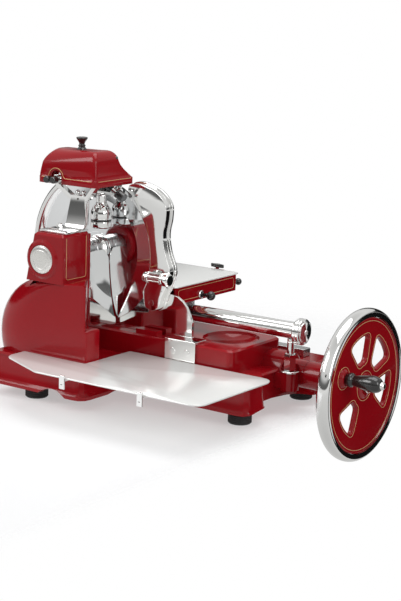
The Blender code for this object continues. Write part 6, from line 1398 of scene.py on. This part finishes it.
@dataclass
class Sharpener:
    """The sharpener over the blade: bracket, stones, push rods and the lift-off hood."""

    cup: Pair = (0.064, 0.098)
    cup_low: float = 0.307
    cup_top: float = 0.349
    cup_radius: float = 0.019
    neck_radius: float = 0.0095
    neck_top: float = 0.3685
    rod_z: float = 0.3955
    hood_left: float = -0.033
    hood_right: float = 0.100
    hood_front: float = 0.035
    hood_rear_low: float = 0.147
    hood_rear_high: float = 0.112
    hood_bottom: float = 0.387
    band_top: float = 0.399
    shoulder: float = 0.425
    crown: float = 0.448
    lean: float = 0.007
    wall: float = 0.0025
    notch_x: float = 0.009
    notch_half: float = 0.013
    notch_top: float = 0.411
    knob: Point = (0.034, 0.077, 0.4483)
    knob_bore: float = 0.0033
    button: Point = (0.0930, 0.100, 0.4340)
    yoke: tuple[Point, ...] = ((0.046, 0.053, 0.3689), (0.0595, 0.053, 0.3689))
    pin: Point = (0.0515, 0.0468, 0.3630)
    hood_corner: float = 0.009
    line_inset: float = 0.009
    line_depth: float = 0.00012

    def build(self) -> None:
        """Makes the bracket and the stones, then the hood."""
        fettled("sharpener_bracket", "sharpener_bracket_plated", CHROME, 0.0009)
        self.holder()
        for name, body, x in (("grind", "grind_lever", 0.0165), ("hone", "hone_lever", 0.0015)):
            fettled(f"{name}_push_rod", f"{name}_push_rod_plated", CHROME, 0.0003)
            fettled(f"{name}_stone", f"{name}_stone_dressed", GRINDSTONE, 0.0006)
            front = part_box(f"{name}_push_rod")[0].y
            cap = turned(f"{name}_rod_cap", [
                (0.0024, 0.0124), (0.0057, 0.0124), (0.0063, 0.0105), (0.0063, 0.0020), (0.0052, -0.0004),
                (0.0, -0.0004), (0.0, 0.0008), (0.0024, 0.0008),
            ], (x, front, self.rod_z), Axis.BACK, 48, ring=True, easing=0.0006)
            finished(cap, BAKELITE, body)
        self.hood()

    def holder(self) -> None:
        """The stone spindle's cup with its dark band, the hone holder, and two chrome balls on the yoke."""
        x, y = self.cup
        low, top, r, neck = self.cup_low, self.cup_top, self.cup_radius, self.neck_radius
        cup = turned("stone_spindle_cup", [
            (0.0, self.neck_top), (neck * 0.9, self.neck_top), (neck, self.neck_top - 0.002), (neck, top + 0.004),
            (neck * 1.25, top), (r * 0.80, top - 0.004), (r * 0.97, top - 0.011), (r, top - 0.017), (r, low + 0.018),
            (r * 0.985, low + 0.017), (r * 0.985, low + 0.012), (r, low + 0.011), (r, low + 0.003), (r * 0.86, low),
            (0.0, low),
        ], (x, y, 0.0), Axis.UP, 96, easing=0.0012)
        finished(cup, CHROME, "frame", ("stone_spindle_housing",))
        band = turned("stone_spindle_band", [
            (r * 0.97, low + 0.0165), (r * 0.992, low + 0.0165), (r * 0.992, low + 0.0125), (r * 0.97, low + 0.0125),
        ], (x, y, 0.0), Axis.UP, 96, ring=True, easing=0.0)
        finished(band, BAKELITE, "frame")
        fettled("hone_holder", "hone_holder_moulded", BAKELITE, 0.0008)
        fettled("holder_ring", "holder_ring_plated", CHROME, 0.0006)
        turns = [math.radians(t) for t in range(10, 151, 10)]
        for k, place in enumerate(self.yoke):
            ball = turned(f"yoke_ball_{k}", [
                (0.0, 0.0098), *((0.0046 * math.sin(t), 0.0052 + 0.0046 * math.cos(t)) for t in turns), (0.0026, 0.0),
                (0.0, 0.0),
            ], place, Axis.UP, 48, easing=0.0)
            finished(ball, CHROME, "frame")
        profile = [(0.0, 0.0011), (0.0016, 0.0011), (0.0020, 0.0), (0.0, 0.0)]
        pin = turned("pillar_pin", profile, self.pin, Axis.FRONT, 24, easing=0.0)
        finished(pin, DARK_STEEL, "frame")

    def hood_ring(self, z: float, inset: float, rear: float, lean: float) -> list[Point]:
        """One level of the hood: a rounded rectangle that leans up to the right."""
        left, right = self.hood_left + inset, self.hood_right - inset
        low, high = self.hood_front + inset, rear - inset
        middle, half = (self.hood_left + self.hood_right) / 2, (self.hood_right - self.hood_left) / 2
        sharp = [(left, low), (right, low), (right, high), (left, high)]
        outline: list[Pair] = []
        for i in range(len(sharp)):
            outline += corner_curve(*sides(sharp, i), self.hood_corner, 6)
        return [(x, y, z + lean * (x - middle) / half) for x, y in outline]

    def hood_shell(self, wall: float) -> list[list[Point]]:
        """Levels of the hood, or of its hollow where wall isn't zero."""
        low, high = self.hood_rear_low, self.hood_rear_high
        levels: list[tuple[float, float, float, float]] = [
            (self.hood_bottom - (0.01 if wall else 0.0), 0.0, low, 0.0), (self.band_top - 0.0004, 0.0, low, 0.0),
            (self.band_top + 0.0004, 0.0006, low - 0.001, 0.0),
        ]
        for t in (0.25, 0.5, 0.75, 1.0):
            z = self.band_top + (self.shoulder - self.band_top) * t
            levels.append((z, 0.003 * t, high + (low - high) * (1 - t) ** 1.6, self.lean * t))
        for t in (k / 8 for k in range(1, 9)):
            z = self.shoulder + (self.crown - self.shoulder) * math.sin(t * math.pi / 2) ** 0.9
            inset = 0.003 + 0.021 * (1 - math.cos(t * math.pi / 2)) ** 0.75
            levels.append((z, inset, high, self.lean * (1 - t ** 3)))
        return [
            self.hood_ring(z - (wall if z > self.band_top else 0.0), inset + wall, rear, lean)
            for z, inset, rear, lean in levels
        ]

    def hood(self) -> None:
        """The lift-off hood with its arch notch, gold line, knob and button."""
        shell = lofted("hood_shell", self.hood_shell(0.0))
        hollow = lofted("hood_hollow", self.hood_shell(self.wall))
        arch_z = self.notch_top - self.notch_half
        foot = self.hood_bottom - 0.01
        arch = [
            (self.notch_x - self.notch_half, foot), (self.notch_x + self.notch_half, foot),
            *circle(self.notch_half, 24, (self.notch_x, arch_z), 0.0, 180.0),
        ]
        notch = drawn("hood_notch", [arch], 0.02, (0.0, self.hood_front, 0.0), Facing.FRONT, 0.00001)
        x, y, z = self.knob
        bore = turned("hood_bore", [
            (0.0, 0.40), (self.knob_bore, 0.40), (self.knob_bore, 0.46), (0.0, 0.46),
        ], (x, y, 0.0), Axis.UP, 32, easing=0.0)
        broken(carved(shell, hollow, notch, bore), 0.0005, 50)
        shell.name = "sharpener_hood_enamelled"
        finished(shell, RED_ENAMEL, "sharpener_hood", ("sharpener_cover",), 38.0)
        self.hood_lines(arch_z)
        knob = turned("hood_knob_turned", [
            (0.0, 0.0212), (0.0060, 0.0212), (0.0070, 0.0220), (0.0098, 0.0215), (0.0105, 0.0200), (0.0096, 0.0180),
            (0.0064, 0.0135), (0.0050, 0.0105), (0.0050, 0.0085), (0.0066, 0.0072), (0.0066, 0.0060),
            (0.0056, 0.0050), (0.0066, 0.0030), (0.0090, 0.0), (self.knob_bore, 0.0), (self.knob_bore, 0.0136),
            (0.0, 0.0136),
        ], (x, y, z), Axis.UP, 72, easing=0.0007)
        finished(knob, BAKELITE, "sharpener_hood", ("cover_knob",), 45.0)
        button = turned("hood_rear_button", [
            (0.0, 0.0052), (0.0030, 0.0050), (0.0043, 0.0034), (0.0043, 0.0), (0.0, 0.0),
        ], self.button, Axis.UP, 40, easing=0.0008)
        finished(button, BAKELITE, "sharpener_hood")

    def hood_lines(self, arch_z: float) -> None:
        """Gold lining along the hood's band, up round the arch notch, and along its right side."""
        y, z = self.hood_front + self.line_depth, self.band_top - 0.0012
        r = self.notch_half + 0.0042
        left, right = self.notch_x - r, self.notch_x + r
        front = [
            (self.hood_left + self.line_inset, z), (left - 0.005, z), (left - 0.002, z + 0.0010), (left, z + 0.0040),
            *circle(r, 20, (self.notch_x, arch_z), 170.0, 10.0), (right, z + 0.0040), (right + 0.002, z + 0.0010),
            (right + 0.005, z), (self.hood_right - self.line_inset, z),
        ]
        path = [(x, y + (0.0006 if h > self.band_top else 0.0), h) for x, h in front]
        gold_line("hood_front_line", path, False, "sharpener_hood")
        x = self.hood_right - self.line_depth
        path = [(x, self.hood_front + self.line_inset, z), (x, self.hood_rear_low - 0.010, z)]
        gold_line("hood_side_line", path, False, "sharpener_hood")


# --------------------------------------------------------------------------- studio


@dataclass
class Studio:
    """Camera, lamps, the pale table top and the white surround."""

    camera: Point = (1.797, -2.060, 0.747)
    azimuth: float = 34.95
    elevation: float = 11.64
    roll: float = -1.78
    focal: float = 1543.0
    photo_long_side: float = 601.0
    sensor: float = 36.0
    soft_grey: tuple[float, ...] = (0.95, 0.97, 1.0, 1.0)
    soft_strength: float = 0.42
    surround: tuple[Pair, ...] = (
        (0.0, 0.55), (0.42, 0.70), (0.49, 0.80), (0.505, 0.10), (0.56, 0.14), (0.62, 0.62), (0.80, 0.75), (1.0, 0.55),
    )
    table_low: Pair = (-1.2, -1.2)
    table_right: float = 0.492
    table_rear: float = 1.4
    table_thickness: float = 0.001
    table_grey: float = 0.55
    table_glow: float = 0.42
    fade_middle: Point = (0.25, 0.12, 0.0)
    fade_round: Pair = (0.40, 1.00)
    fade_right: float = 0.38
    target: Point = (0.23, 0.10, 0.18)
    lamps: tuple[tuple[str, Point, Pair, float], ...] = (
        ("key_box", (-1.5, -1.9, 1.9), (1.3, 1.3), 30.0), ("top_box", (0.3, 0.3, 2.4), (2.2, 1.6), 30.0),
        ("right_box", (2.6, -0.6, 1.1), (0.9, 1.5), 15.0),
    )
    cards: tuple[tuple[str, Point, Point], ...] = (
        ("left_card", (-1.9, -0.9, 0.15), (-1.88, 0.9, 0.75)), ("rear_card", (-0.6, 2.0, 0.25), (1.2, 2.02, 0.8)),
        ("front_card", (0.2, -2.6, 0.95), (1.0, -2.58, 1.15)), ("right_card", (1.0, 2.5, -1.3), (3.4, 2.52, 0.12)),
    )

    def build(self) -> None:
        """Sets the scene up, apart from the object."""
        scene = bpy.context.scene
        scene.view_settings.view_transform = "Standard"
        self.set_camera()
        self.set_world()
        self.set_floor()
        self.set_lamps()
        self.set_cards()

    def set_camera(self) -> None:
        """The camera at the photograph's viewing angle."""
        a, e, r = (math.radians(v) for v in (self.azimuth, self.elevation, self.roll))
        forward = Vector((-math.sin(a) * math.cos(e), math.cos(a) * math.cos(e), -math.sin(e)))
        right = Vector((math.cos(a), math.sin(a), 0.0))
        up = right.cross(forward)
        across, above = right * math.cos(r) - up * math.sin(r), up * math.cos(r) + right * math.sin(r)
        data = bpy.data.cameras.new("photo_camera")
        data.sensor_width = self.sensor
        data.lens = self.focal / self.photo_long_side * self.sensor
        data.clip_end = 50.0
        camera = in_scene("photo_camera", data)
        turn = Matrix((across, above, -forward)).transposed().to_4x4()
        camera.matrix_world = Matrix.Translation(self.camera) @ turn
        bpy.context.scene.camera = camera

    def set_world(self) -> None:
        """White to the camera, a soft grey to the lit surfaces, and a banded surround to the metal."""
        world = bpy.data.worlds.new("studio")
        bpy.context.scene.world = world
        world.use_nodes = True
        nodes, links = world.node_tree.nodes, world.node_tree.links
        nodes.clear()
        out = nodes.new("ShaderNodeOutputWorld")
        rays = nodes.new("ShaderNodeLightPath")
        soft, white, seen = (nodes.new("ShaderNodeBackground") for _ in range(3))
        valued(soft, Color=self.soft_grey, Strength=self.soft_strength)
        valued(white, Color=(1.0, 1.0, 1.0, 1.0), Strength=1.0)
        place = nodes.new("ShaderNodeTexCoord")
        split = nodes.new("ShaderNodeSeparateXYZ")
        band = nodes.new("ShaderNodeValToRGB")
        height = valued(nodes.new("ShaderNodeMapRange"), From_Min=-1.0)
        links.new(place.outputs["Generated"], split.inputs[0])
        links.new(split.outputs["Z"], height.inputs["Value"])
        links.new(height.outputs["Result"], band.inputs["Fac"])
        elements = band.color_ramp.elements
        while len(elements) < len(self.surround):
            elements.new(0.5)
        for element, (position, grey) in zip(elements, self.surround):
            element.position = position
            element.color = (grey, grey, grey * 0.99, 1.0)
        links.new(band.outputs["Color"], seen.inputs["Color"])
        unseen = mixed(world.node_tree, rays.outputs["Is Glossy Ray"], soft.outputs[0], seen.outputs[0])
        both = mixed(world.node_tree, rays.outputs["Is Camera Ray"], unseen, white.outputs[0])
        links.new(both, out.inputs["Surface"])

    @staticmethod
    def fade(
        tree: bpy.types.NodeTree, source: bpy.types.NodeSocket, start: float, end: float,
    ) -> bpy.types.NodeSocket:
        """A smooth rise from 0 to 1 as the source goes from start to end."""
        rise = valued(tree.nodes.new("ShaderNodeMapRange"), From_Min=start, From_Max=end)
        rise.interpolation_type = "SMOOTHSTEP"
        tree.links.new(source, rise.inputs["Value"])
        return rise.outputs["Result"]

    def set_floor(self) -> None:
        """A pale table top under the feet, which ends before the flywheel and fades into the white."""
        grey = self.table_grey
        pale, shader = new_material(
            "pale_top", Base_Color=(grey, grey, grey, 1.0), Roughness=0.9, Specular_IOR_Level=0.0,
        )
        tree = pale.node_tree
        nodes, links = tree.nodes, tree.links
        glow = valued(nodes.new("ShaderNodeEmission"), Color=(1.0, 1.0, 1.0, 1.0), Strength=self.table_glow)
        total = nodes.new("ShaderNodeAddShader")
        links.new(shader.outputs[0], total.inputs[0])
        links.new(glow.outputs[0], total.inputs[1])
        place = nodes.new("ShaderNodeTexCoord")
        away = nodes.new("ShaderNodeVectorMath")
        away.operation = "DISTANCE"
        away.inputs[1].default_value = self.fade_middle
        links.new(place.outputs["Object"], away.inputs[0])
        split = nodes.new("ShaderNodeSeparateXYZ")
        links.new(place.outputs["Object"], split.inputs[0])
        most = nodes.new("ShaderNodeMath")
        most.operation = "MAXIMUM"
        links.new(self.fade(tree, away.outputs["Value"], *self.fade_round), most.inputs[0])
        links.new(self.fade(tree, split.outputs["X"], self.fade_right, self.table_right - 0.002), most.inputs[1])
        clear = nodes.new("ShaderNodeBsdfTransparent")
        faded = mixed(tree, most.outputs[0], total.outputs[0], clear.outputs[0])
        links.new(faded, nodes["Material Output"].inputs["Surface"])
        high = (self.table_right, self.table_rear, -0.0001)
        top = block("table_top_slab", (*self.table_low, -self.table_thickness), high, 0.0004)
        top.data.materials.append(pale)

    def set_lamps(self) -> None:
        """Three soft boxes: a key at the front left, a wide top light and a fill at the right."""
        for name, place, size, power in self.lamps:
            data = bpy.data.lights.new(name, "AREA")
            data.shape = "RECTANGLE"
            data.size, data.size_y = size
            data.energy = power
            lamp = in_scene(name, data)
            lamp.location = place
            lamp.rotation_mode = "QUATERNION"
            lamp.rotation_quaternion = (Vector(self.target) - Vector(place)).to_track_quat("-Z", "Y")

    def set_cards(self) -> None:
        """Black cards out of view, which only reflections show, for the dark edges in the chrome."""
        black, _ = new_material(
            "black_card", Base_Color=(0.01, 0.01, 0.01, 1.0), Specular_IOR_Level=0.0, Roughness=1.0,
        )
        for name, low, high in self.cards:
            card = block(name, low, high, 0.002)
            card.data.materials.append(black)
            card.visible_camera = card.visible_diffuse = card.visible_shadow = False


def main() -> None:
    """Builds the studio and every sub-assembly in order."""
    Studio().build()
    for part in (
        Base(), Column(), BladeSet(), Flywheel(), FrontRail(), Carriage(), Gauge(), Tray(), Sharpener(),
    ):
        LOG.info("building %s", type(part).__name__)
        part.build()


if __name__ == "__main__":
    main()
